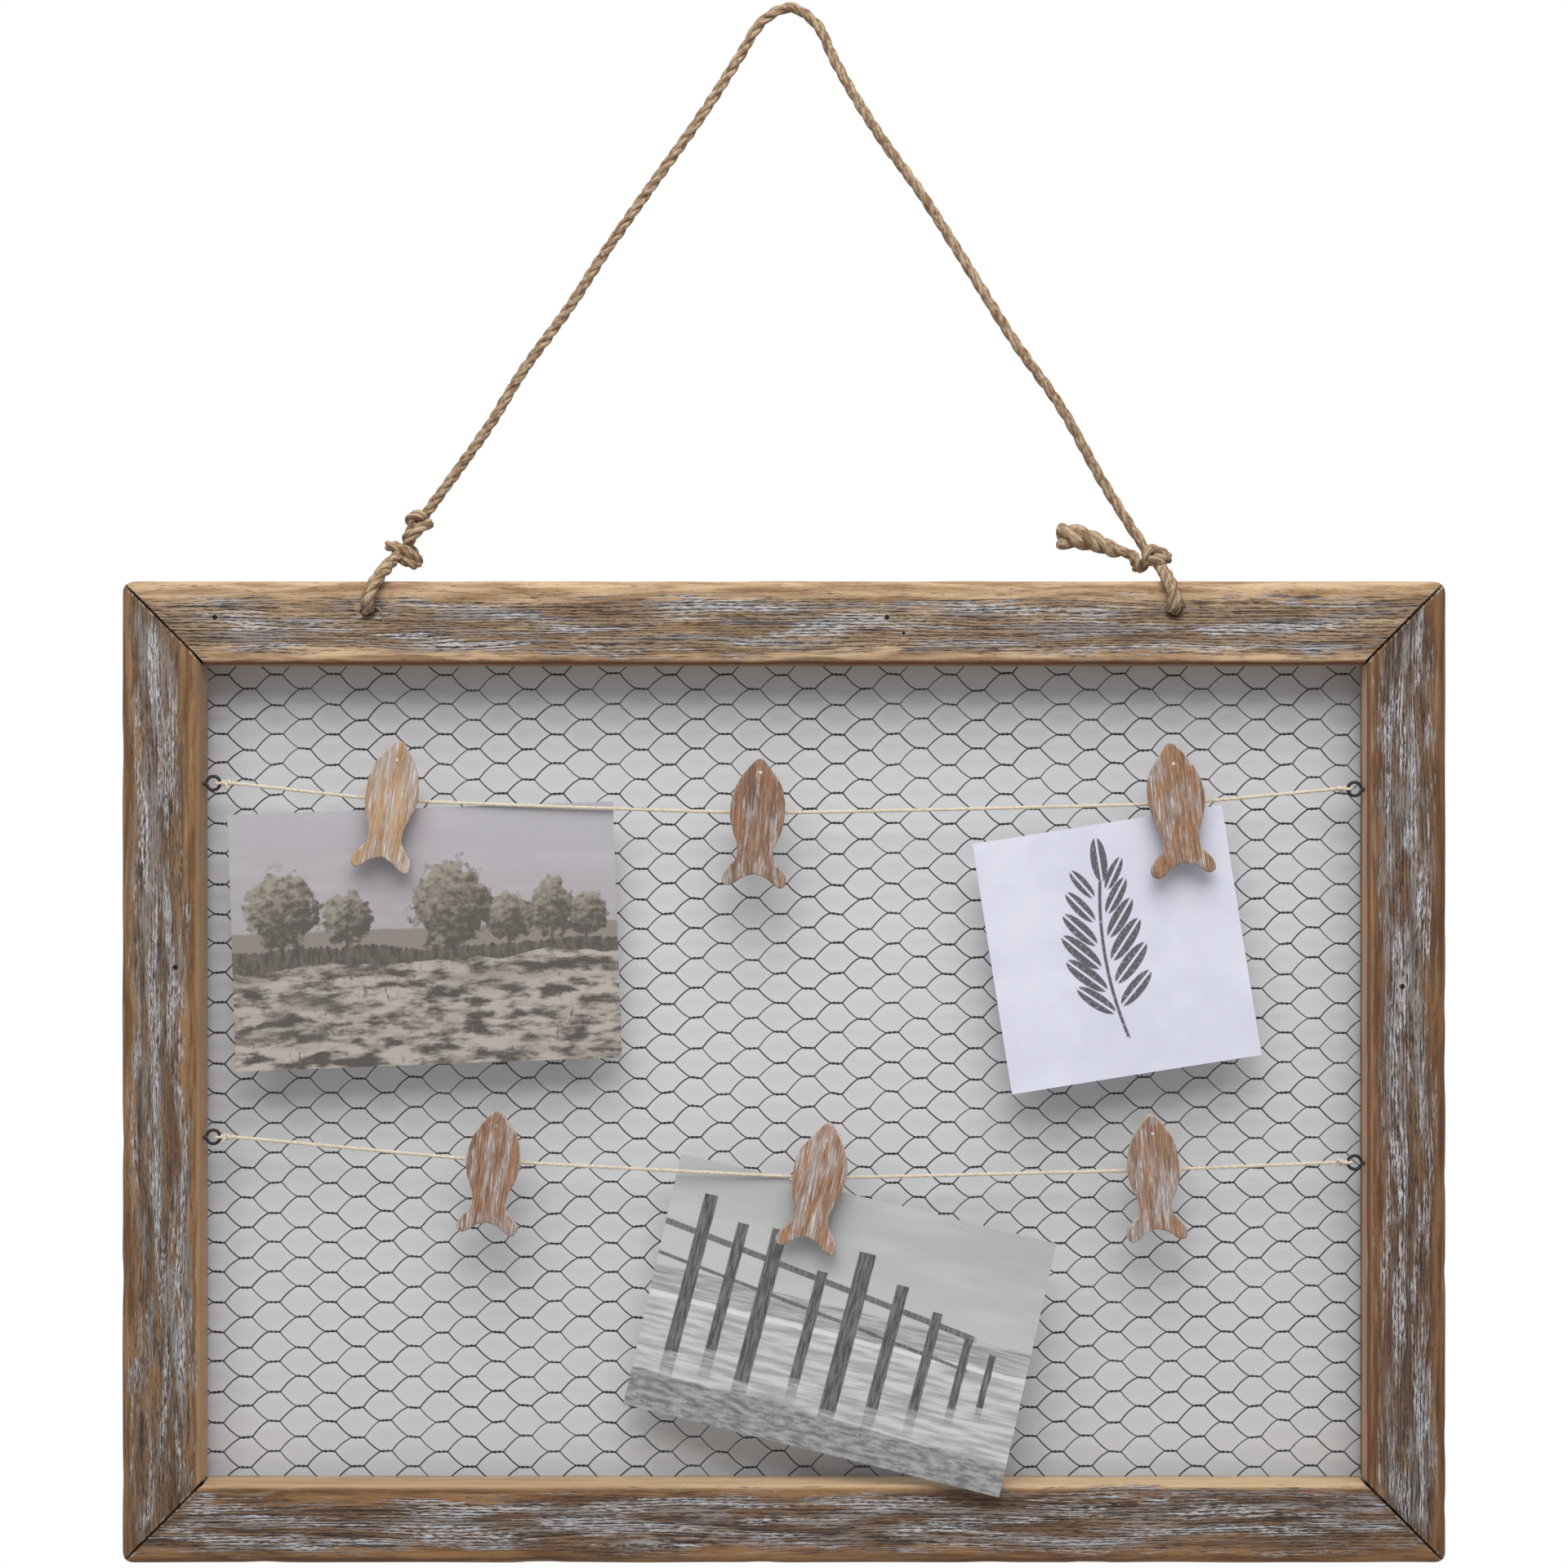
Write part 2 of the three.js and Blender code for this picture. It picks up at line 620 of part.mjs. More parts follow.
function springSteps() {
  const straight = 2 * (jawHalfGap + legThickness + armReach);
  const perTurn = 2 * Math.PI * coilRadius;
  return Math.round((coilTurns + straight / perTurn) * stepsPerTurn);
}

// The least gap between two stretches of a wound wire that are over half a turn apart
function leastGap(points, radius, halfTurn) {
  const line = new THREE.CatmullRomCurve3(points, false, 'centripetal').getSpacedPoints(points.length * 4);
  const step = line[0].distanceTo(line[1]);
  const apart = Math.ceil(halfTurn / step);
  let least = Infinity;
  for (let a = 0; a < line.length; a += 1) {
    for (let b = a + apart; b < line.length; b += 1) {
      least = Math.min(least, line[a].distanceTo(line[b]) - 2 * radius);
    }
  }
  return least;
}

function fishOutline() {
  const place = ([across, along]) => new THREE.Vector2(
    (across * fishWidth) / 2, handleLength + noseAbovePeg - along * fishLength);
  const right = fishShares.map(place);
  const left = fishShares.map(([across, along]) => place([-across, along])).reverse();
  const shape = new THREE.Shape();
  shape.moveTo(right[0].x, right[0].y);
  shape.splineThru(right.slice(1));
  shape.splineThru(left.slice(1));
  return shape;
}

function fish() {
  const flat = fishThickness - 2 * fishEdge;
  const geometry = new THREE.ExtrudeGeometry(fishOutline(), {
    depth: flat, curveSegments: 1, bevelEnabled: true, bevelSegments: 1,
    bevelSize: fishEdge, bevelThickness: fishEdge, bevelOffset: -fishEdge,
  });
  const behind = jawHalfGap + legThickness + seatGap + fishEdge;
  return geometry.applyMatrix4(alongY).translate(0, -behind, 0);
}

function pegParts(k) {
  const leg = drawnAlongX(legSection(), pegWidth, 3);
  const holder = new THREE.Group();
  holder.rotation.y = radians(pegs[k].lean);
  const glued = named(`fish_${k + 1}`, fish(), fishWood);
  glued.rotation.y = radians(pegs[k].fishLean);
  holder.add(glued);
  holder.add(named(`peg_front_leg_${k + 1}`, leg.clone().rotateZ(Math.PI), pegWood));
  holder.add(named(`peg_back_leg_${k + 1}`, leg, pegWood));
  holder.add(named(`peg_spring_${k + 1}`, tube(springRoute(), springRadius, springSides, springSteps()), steel));
  return holder;
}

// How far a sheet's jaws pitch forwards, in radians. A sheet whose lower corner reaches
// below the opening keeps all that crosses the bottom rail's edge in front of it, also
// when the sheet is pulled part of the way out. The others hang straight.
function restingPitch(sheet) {
  const peg = pegs[sheet.peg];
  const turn = radians(sheet.turn);
  const edgeDrop = notchPlace(peg).z + halfOpeningHigh;
  const side = Math.sign(turn);
  const across = (side - sheet.biteShare) * (sheet.wide / 2);
  const down = edgeBelowLine + sheet.high;
  const corner = across * Math.cos(turn) - down * Math.sin(turn);
  const below = across * Math.sin(turn) + down * Math.cos(turn) + sheetPull - edgeDrop;
  const crossing = corner - side * Math.min(sheet.wide, below / Math.tan(Math.abs(turn)));
  const forwards = eyeBehindFront + sheetOffRail + crossing * Math.sin(radians(peg.twist));
  return below > 0 ? Math.atan(forwards / edgeDrop) : 0;
}

// A sheet hangs from its peg's jaws with its top edge just below the line
function sheetPart(sheet) {
  const geometry = new THREE.BoxGeometry(sheet.wide, paperThickness, sheet.high);
  geometry.translate(-sheet.biteShare * (sheet.wide / 2), 0, -edgeBelowLine - sheet.high / 2);
  geometry.rotateY(radians(sheet.turn));
  return named(sheet.name, geometry, sheet.name.startsWith('card') ? cardPaper : printPaper);
}

function pegGroups() {
  return pegs.map((peg, k) => {
    const hanging = new THREE.Group();
    hanging.position.copy(notchPlace(peg));
    hanging.rotation.z = radians(peg.twist);
    hanging.add(pegParts(k));
    for (const sheet of sheets.filter((each) => each.peg === k)) {
      hanging.rotation.x = -restingPitch(sheet);
      hanging.add(sheetPart(sheet));
    }
    return hanging;
  });
}

// A knot above the top rail with its strand through the rail
function ropeKnot(hole, strap, turns, neck) {
  const from = (points) => vectors(points).map((point) => point.add(hole));
  let body = solid(tube(from(strap), ropeRadius, ropeSides, 24));
  for (const turn of turns) {
    body = body.add(solid(tube(from(turn), ropeRadius, ropeSides, 2 * turn.length)));
  }
  return geometryOf(body.add(solid(tube(from(neck), ropeRadius, ropeSides, 5))));
}

// The rope over the nail, its ends a clearance short of the knots' necks
function hangerRope() {
  const route = vectors(ropeRoute);
  const centre = new THREE.Vector3(centreAcross, centreBehind, -centreDown);
  const end = (hole, neck, next) => {
    const meets = vectors(neck).pop().add(hole).add(centre);
    return meets.addScaledVector(next.clone().sub(meets).normalize(), seatGap);
  };
  route.unshift(end(ropeHoles[0], leftNeck, route[0]));
  route.push(end(ropeHoles[1], rightNeck, route[route.length - 1]));
  return tube(route, ropeRadius, ropeSides, ropeSteps);
}

const part = new THREE.Group();
const frame = new THREE.Group();
frame.position.set(centreAcross, centreBehind, -centreDown);
frame.add(...frameParts(), ...eyeParts());
frame.add(named('upper_line', cottonLine('upper'), cotton));
frame.add(named('lower_line', cottonLine('lower'), cotton));
frame.add(...pegGroups());
frame.add(named('left_knot', ropeKnot(ropeHoles[0], leftStrap, leftTurns, leftNeck), jute));
frame.add(named('right_knot', ropeKnot(ropeHoles[1], rightStrap, rightTurns, rightNeck), jute));
part.add(frame);
part.add(named('hanger_rope', hangerRope(), jute));

console.log('least gap in a peg spring, mm:', leastGap(springRoute(), springRadius, Math.PI * coilRadius).toFixed(2));

export default part;
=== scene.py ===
import math
import bpy
import numpy as np
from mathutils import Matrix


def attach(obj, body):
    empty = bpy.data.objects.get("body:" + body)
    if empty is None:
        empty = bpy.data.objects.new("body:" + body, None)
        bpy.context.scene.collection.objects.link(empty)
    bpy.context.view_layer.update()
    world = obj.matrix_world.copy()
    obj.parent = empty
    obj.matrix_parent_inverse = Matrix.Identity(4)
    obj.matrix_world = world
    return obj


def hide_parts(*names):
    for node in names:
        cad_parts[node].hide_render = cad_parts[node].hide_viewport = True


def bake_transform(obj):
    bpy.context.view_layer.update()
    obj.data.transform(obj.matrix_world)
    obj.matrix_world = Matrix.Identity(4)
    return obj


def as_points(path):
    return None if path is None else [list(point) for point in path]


# A wall frame of weathered wood round a hexagonal wire net, with two cotton lines, six
# fish pegs and three sheets of paper, on a jute rope. Metres; +X right, +Z up, front -Y;
# the origin is where the rope's bend sits on the nail.
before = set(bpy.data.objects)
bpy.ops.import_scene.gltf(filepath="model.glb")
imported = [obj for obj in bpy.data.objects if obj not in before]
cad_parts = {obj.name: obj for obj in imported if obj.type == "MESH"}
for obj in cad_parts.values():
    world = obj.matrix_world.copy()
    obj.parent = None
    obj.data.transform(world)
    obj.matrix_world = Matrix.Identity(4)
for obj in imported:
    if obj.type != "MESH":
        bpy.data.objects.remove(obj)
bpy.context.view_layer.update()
MM = 0.001
CENTRE = np.array([-2.6, -6.4, -417.1]) * MM

# Camera
# Straight in front, a little above the frame's middle, so that the inner faces of the
# bottom rail and of both sides show.
lens = bpy.data.cameras.new("camera")
lens.lens, lens.sensor_width = 68.03, 36
camera = bpy.data.objects.new("camera", lens)
camera.location = (-0.002585, -1.1724, -0.30505)
camera.rotation_euler = (math.pi / 2, 0, 0)
bpy.context.scene.collection.objects.link(camera)
bpy.context.scene.camera = camera

# Rails
# Four mitred softwood rails, 31 mm wide and 20 mm deep, glued and V-nailed. Their faces
# were wire-brushed and left outdoors; the edges are rubbed bare. A rabbet takes the net.
FRAME_WIDE, FRAME_HIGH, RAIL_WIDE = 515 * MM, 382 * MM, 31 * MM
RAIL_FRONT, RAIL_BACK = -16 * MM, 4 * MM
RABBET_WIDE, RABBET_DEEP = 7 * MM, 5 * MM
WORN_ROUND, BACK_ROUND = 3.8 * MM, 1.2 * MM
CORNER_ROUND, MITRE_SHUT, MITRE_OPEN, END_ROUND = 5.8 * MM, 0.05 * MM, 0.42 * MM, 1 * MM
TOP_LIP = 1.8 * MM
ROPE_HOLES = np.array([[-161.7, 0, 180.1], [151.2, 0, 180.1]]) * MM
ROPE_HOLE_RADIUS = 2.6 * MM


def run(start, end, step):
    """Points of a straight run from start towards end, without end, about a step apart."""
    start, end = np.array(start), np.array(end)
    count = max(1, round(np.linalg.norm(end - start) / step))
    return start + (end - start) * (np.arange(count) / count)[:, None]


def quarter(middle, radius, first, count):
    """Points of a quarter circle round middle, from first quarter turns on, without its end."""
    angle = math.pi / 2 * (first + np.arange(count) / count)
    return np.array(middle) + radius * np.stack([np.cos(angle), np.sin(angle)], 1)


def rail_section(inner, outer, inner_round):
    """The rail's section as (depth, outwards): straight runs joined by quarter circles,
    from the rabbet's ledge round the back, outside, front and inside."""
    ledge, wall = RAIL_BACK - RABBET_DEEP, outer - RAIL_WIDE + RABBET_WIDE
    return np.concatenate([
        run((ledge, inner), (ledge, wall), 2.4 * MM),
        run((ledge, wall), (RAIL_BACK, wall), 2.5 * MM),
        run((RAIL_BACK, wall), (RAIL_BACK, outer - BACK_ROUND), 3 * MM),
        quarter((RAIL_BACK - BACK_ROUND, outer - BACK_ROUND), BACK_ROUND, 0, 3),
        run((RAIL_BACK - BACK_ROUND, outer), (RAIL_FRONT + WORN_ROUND, outer), 1.3 * MM),
        quarter((RAIL_FRONT + WORN_ROUND, outer - WORN_ROUND), WORN_ROUND, 1, 8),
        run((RAIL_FRONT, outer - WORN_ROUND), (RAIL_FRONT, inner + inner_round), 0.9 * MM),
        quarter((RAIL_FRONT + inner_round, inner + inner_round), inner_round, 2, 5),
        run((RAIL_FRONT + inner_round, inner), (ledge, inner), 1.3 * MM),
    ])


def grid_faces(rows, columns, closed):
    """Corner numbers of a grid's four-sided faces; closed joins its last column to the first."""
    across = np.arange(columns if closed else columns - 1)
    first = np.arange(rows - 1)[:, None] * columns + across
    second = np.arange(rows - 1)[:, None] * columns + (across + 1) % columns
    return np.stack([first, second, second + columns, first + columns], -1).reshape(-1, 4)


def capped(rows, columns):
    """The faces of rings joined one to the next: the sides, the first end and the last."""
    ring = np.arange(columns)[None]
    return [grid_faces(rows, columns, True), ring[:, ::-1], ring + (rows - 1) * columns]


def turned(points, axis, angle):
    """Points turned by an angle about one of the frame's own directions, right-handed."""
    one, two = (axis + 1) % 3, (axis + 2) % 3
    moved = np.array(points, float)
    moved[..., one] = points[..., one] * math.cos(angle) - points[..., two] * math.sin(angle)
    moved[..., two] = points[..., one] * math.sin(angle) + points[..., two] * math.cos(angle)
    return moved


def uneven(along, across, seed, length, width):
    """Smooth unevenness between about -1 and 1: the mean of eight sine waves of different
    lengths, slants and starts over the surface."""
    rng = np.random.default_rng(seed)
    total = np.zeros(np.broadcast(along, across).shape)
    for _ in range(8):
        a, b, start = rng.uniform(0.4, 1.8), rng.uniform(-1.5, 1.5), rng.uniform(0, 2 * math.pi)
        total += np.sin(2 * math.pi * (a * along / length + b * across / width) + start)
    return total / 4


def attribute_on(mesh, name, values):
    """Gives each point of the mesh a vector that its finish can read."""
    layer = mesh.attributes.new(name, "FLOAT_VECTOR", "POINT")
    layer.data.foreach_set("vector", np.ascontiguousarray(values, np.float32).ravel())


def built(name, shape, body, finish, slot, corner=40):
    """A mesh of a shape: its points, its faces in one array for each number of corners,
    and its grain if it has one, with its finish and the body that it rides on, if it
    rides on just one. Edges sharper than corner degrees stay sharp."""
    points, faces, *grain = shape
    mesh = bpy.data.meshes.new(name)
    sizes = np.concatenate([np.full(len(group), group.shape[1]) for group in faces])
    corners = np.concatenate([group.ravel() for group in faces])
    mesh.vertices.add(len(points))
    mesh.vertices.foreach_set("co", np.ascontiguousarray(points, np.float32).ravel())
    mesh.loops.add(len(corners))
    mesh.loops.foreach_set("vertex_index", corners.astype(np.int32))
    mesh.polygons.add(len(sizes))
    mesh.polygons.foreach_set("loop_start", (np.cumsum(sizes) - sizes).astype(np.int32))
    mesh.polygons.foreach_set("use_smooth", np.ones(len(sizes), bool))
    mesh.update(calc_edges=True)
    mesh.set_sharp_from_angle(angle=math.radians(corner))
    for values in grain:
        attribute_on(mesh, "grain", values)
    made = bpy.data.objects.new(name, mesh)
    bpy.context.scene.collection.objects.link(made)
    mesh.materials.append(finish)
    if body:
        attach(made, body)
    return made


def colour(red, green, blue):
    """The shader's colour for one written as 0 to 255 on a screen."""
    steps = [c / 255 for c in (red, green, blue)]
    return (*[c / 12.92 if c < 0.04045 else ((c + 0.055) / 1.055) ** 2.4 for c in steps], 1)


class Value:
    """A socket in a finish: a number, a tone or a place at each point of the surface. The
    signs + - * / ** and |, the larger, add a Math node each. A tone may also be written
    as red, green and blue from 0 to 255."""

    def __init__(self, finish, socket):
        self.finish, self.socket = finish, socket

    def maths(self, operation, first, second):
        """The result of a Math node's operation on two numbers."""
        return self.finish.node("Math", {"operation": operation}, {0: first, 1: second})

    def __abs__(self):
        """The value without its sign."""
        return self.maths("ABSOLUTE", self, 0)

    def fade(self, low, high):
        """0 at low, 1 at high, smooth between them and level outside."""
        return self.finish.node("MapRange", {"interpolation_type": "SMOOTHSTEP"},
                                {"Value": self, "From Min": low, "From Max": high})

    def between(self, *tones):
        """The first tone where the value is 0, the second where it is 1, and mixed between."""
        return self.finish.mix(self, *tones)

    def over(self, share, tone):
        """The tone with a share of another laid over it."""
        return self.finish.mix(share, self, tone)

    def part(self, axis):
        """The place's number along one axis."""
        return self.finish.node("SeparateXYZ", {}, {0: self}, axis)

    def distance(self, *point):
        """The straight way from the place to a point."""
        return self.finish.node("VectorMath", {"operation": "DISTANCE"}, {0: self, 1: point}, "Value")

    def noise(self, cells, shift, detail):
        """Noise over a place, with so many cells in a metre each way, moved by shift cells."""
        place = self.finish.node("VectorMath", {"operation": "MULTIPLY_ADD"}, {0: self, 1: cells, 2: shift})
        return self.finish.node("TexNoise", {}, {"Vector": place, "Scale": 1, "Detail": detail,
                                                 "Roughness": 0.6})

    def streaks(self, length, width, detail=2, shift=0):
        """Noise whose cells are drawn out along the grain: length by width, in metres."""
        return self.noise((1 / length, 1 / width, 1 / width), (shift, 0, shift), detail)

    def cloudy(self, length, width, detail, shift):
        """Noise over a sheet whose cells are length across and width up, in metres."""
        return self.noise((1 / length, 1 / width, 0), (shift, shift, shift), detail)


for sign, kind in (("add", "ADD"), ("sub", "SUBTRACT"), ("mul", "MULTIPLY"), ("truediv", "DIVIDE"),
                   ("pow", "POWER"), ("or", "MAXIMUM")):
    setattr(Value, f"__{sign}__", lambda one, other, kind=kind: one.maths(kind, one, other))
    setattr(Value, f"__r{sign}__", lambda one, other, kind=kind: one.maths(kind, other, one))


class Nodes:
    """The shader nodes of a finish or of the room."""

    def __init__(self, owner):
        owner.use_nodes = True
        self.tree = owner.node_tree

    def node(self, kind, settings, sockets, output=0):
        """Adds a node: its settings first, then its sockets' values or links."""
        made = self.tree.nodes.new("ShaderNode" + kind)
        for key, value in settings.items():
            setattr(made, key, value)
        for key, value in sockets.items():
            if isinstance(value, Value):
                self.tree.links.new(value.socket, made.inputs[key])
            else:
                made.inputs[key].default_value = value
        return Value(self, made.outputs[output])

    def mix(self, share, *tones):
        """The first tone where the share is 0, the second where it is 1, and mixed between."""
        first, second = (colour(*tone) if isinstance(tone, tuple) else tone for tone in tones)
        return self.node("Mix", {"data_type": "RGBA"}, {0: share, 6: first, 7: second}, 2)

    def attribute(self, name):
        """The vector that each point of the mesh has under that name."""
        return self.node("Attribute", {"attribute_name": name}, {}, "Vector")

    def place(self):
        """The place in the frame that all pieces share."""
        return self.node("TexCoord", {}, {}, "Object")

    def vector(self, *parts):
        """A place put together from its numbers along the axes."""
        return self.node("CombineXYZ", {}, dict(enumerate(parts)))

    def shown(self, value, output):
        """Links a shader to the output node of that name."""
        self.tree.links.new(value.socket, self.tree.nodes[output].inputs[0])


class Finish(Nodes):
    """A surface finish: a material whose Principled shader takes what its nodes work out."""

    def __init__(self, name, **uniform):
        self.material = bpy.data.materials.new(name)
        super().__init__(self.material)
        self.shader = self.tree.nodes["Principled BSDF"]
        for socket, value in uniform.items():
            self.shader.inputs[socket.replace("_", " ")].default_value = value

    def links(self, **values):
        """Links values to the shader's sockets of those names."""
        for socket, value in values.items():
            self.tree.links.new(value.socket, self.shader.inputs[socket.replace("_", " ")])
        return self.material

    def worn(self, height, depth, **values):
        """Links values too, with height as a relief of that depth in metres."""
        return self.links(Normal=self.node("Bump", {}, {"Height": height, "Distance": depth}), **values)


def rail_finish(name, tans, greys, inside, arris_shade, grooved, silver, lime, stain, ends, marks, chips_and_hole_shadows=()):
    """Bare wood in two tans. Where the rail's place says so it is brushed and weathered:
    silver-grey patches, dark grooves a growth ring apart that break off and start again,
    their dark partly painted shade, dark patches along them, and dashes of limewash left
    on the ridges between, partly painted highlight, less of them near the mitres. The
    mitred ends are dark with painted shade of the mitre gap, the inner face goes from one
    tone to another along the rail, in tones given per rail that are painted light and
    shade, with painted shade lines along its edges and a painted contact shadow at its
    back, a few old nail holes go in, and the drilled holes have chips and a painted shadow."""
    finish = Finish(name, Specular_IOR_Level=0.25)
    grain, place = finish.attribute("grain"), finish.attribute("place")
    sway = grain.streaks(0.09, 0.014, 1, 3) - 0.5
    grain = finish.vector(grain.part(0), grain.part(1) + sway * 0.005, grain.part(2))
    brushed, inward, from_end = (place.part(axis) for axis in range(3))
    rings = grain.streaks(0.06, 0.005, 1, 31) * 2.4 + grain.part(1) / 0.00125
    rings = finish.node("Math", {"operation": "SINE"}, {0: rings * 6.283})
    broken = grain.streaks(0.005, 0.00042, 4)
    fibre = grain.streaks(0.0028, 0.0003, 3, 5)
    slow = grain.streaks(0.04, 0.0035, 4, 9)
    edge = grain.streaks(0.014, 0.0016, 4, 13)
    zone = (brushed + (edge - 0.5) * 0.018).fade(-0.0014, 0.003)
    rubbed = grain.streaks(0.05, 0.008, 4, 51) + (fibre - 0.5) * 0.2
    zone = zone * (1 - rubbed.fade(0.58, 0.68) * 0.7)
    ridge = rings * 0.1 * grooved + broken * 0.75 + fibre * 0.45 - 0.1
    groove = ridge.fade(0.46, 0.36) * (0.4 + 0.6 * grooved)
    painted = (from_end + (slow - 0.5) * ends * 2).fade(0, ends)
    silvered = grain.streaks(0.045, 0.0045, 5, 17).fade(0.56 - silver, 0.68 - silver) * painted
    limed = grain.streaks(0.05, 0.005, 5, 37).fade(0.58 - lime, 0.68 - lime) * painted
    stained = grain.streaks(0.03, 0.002, 5, 21).fade(0.62 - stain, 0.72 - stain)
    bare = slow.fade(0.36, 0.64).between(*tans)
    bare = bare.over((fibre + (slow - 0.5) * 0.8).fade(0.5, 0.8) * 0.5, (94, 66, 44))
    flecks = grain.streaks(0.005, 0.0004, 3, 29) + (edge - 0.5) * 0.4
    bare = bare.over(flecks.fade(0.57, 0.68) * 0.75, (68, 49, 36))
    faded = grain.streaks(0.03, 0.0015, 3, 57)
    bare = bare.over(faded.fade(0.56, 0.7) * 0.35, (180, 160, 136))
    # The inner face's two tones, given per rail, are painted light and shade: dark on the top rail's, which
    # faces down, pale on the bottom rail's, which faces up.
    inner = grain.part(0).fade(-0.16, 0.16).between(*inside)
    inner = inner.over(slow.fade(0.4, 0.7) * 0.3 + flecks.fade(0.62, 0.72) * 0.3, (96, 64, 40))
    bare = bare.over((inward + (edge - 0.5) * 0.003).fade(-0.0034, -0.0012), inner)
    # Darker lines along the rounding of the inner front edge and near the back of the inner face are painted
    # shade.
    lines = inward.fade(-0.0028, -0.0016) * inward.fade(0.0014, 0) | inward.fade(0.0095, 0.0108)
    bare = bare.over(lines * arris_shade, (86, 50, 32))
    # A dark line at the back edge of the inner face is a painted contact shadow against the wall.
    bare = bare.over(inward.fade(0.0128, 0.0133) * 0.8, (48, 34, 26))
    weather = (slow + (fibre - 0.5) * 0.8).fade(0.38, 0.62).between(*tans)
    weather = weather.over(0.42, (118, 104, 94))
    rusty = grain.streaks(0.02, 0.004, 3, 43)
    weather = weather.over(rusty.fade(0.58, 0.7) * 0.55, (138, 98, 66))
    weather = weather.over(silvered * (0.5 + ridge * 0.5), greys[0])
    weather = weather.over(stained * (1.1 - ridge * 0.7), greys[1])
    # The grooves' dark tone is darker grain and painted shade in them.
    weather = weather.over(groove * 0.85, (52, 40, 34))
    # The pale dashes on the ridge tops within the limewash are limewash and painted highlight.
    lime_and_highlight_dashes = (ridge + (fibre - 0.5) * 0.5).fade(0.46, 0.6)
    weather = weather.over(limed * lime_and_highlight_dashes * 0.9, (204, 206, 211))
    skin = bare.over(zone, weather)
    chipped = from_end.fade(0.0016, 0.0011) * (edge + (fibre - 0.5) * 0.3).fade(0.5, 0.58)
    skin = skin.over(chipped * 0.6, (204, 193, 176))
    # The dark tone at the mitred ends is painted shade in the mitre gap.
    skin = skin.over(from_end.fade(0.0012, 0.0003) * 0.7, (56, 40, 30))
    spot, pits = finish.place(), 0
    for x, z, radius in marks:
        away = spot.distance(x * MM, CENTRE[1] + RAIL_FRONT, z * MM) + (fibre - 0.5) * 0.0006
        skin = skin.over(away.fade(radius * 1.6 * MM, radius * 1.2 * MM) * 0.5, tans[1])
        pit = away.fade(radius * 1.15 * MM, radius * 0.75 * MM)
        skin, pits = skin.over(pit, (26, 18, 14)), pits | pit
    # Pale chips round the rope holes, and a dark painted shadow round each hole, a little below it.
    for x, z, radius, tone in chips_and_hole_shadows:
        away = spot.distance(x * MM, CENTRE[1] + RAIL_FRONT, z * MM)
        away = away + (edge - 0.5) * 0.004 + (fibre - 0.5) * 0.0016
        skin = skin.over(away.fade(radius * 1.15 * MM, radius * 0.75 * MM) * 0.8, tone)
    height = zone * (ridge * 1.2 - groove * 0.3) + (1 - zone) * (0.45 + fibre * 0.25 + slow * 0.1) - pits
    return finish.worn(height, 0.7 * MM, Base_Color=skin, Roughness=0.95 - (1 - zone) * 0.3)


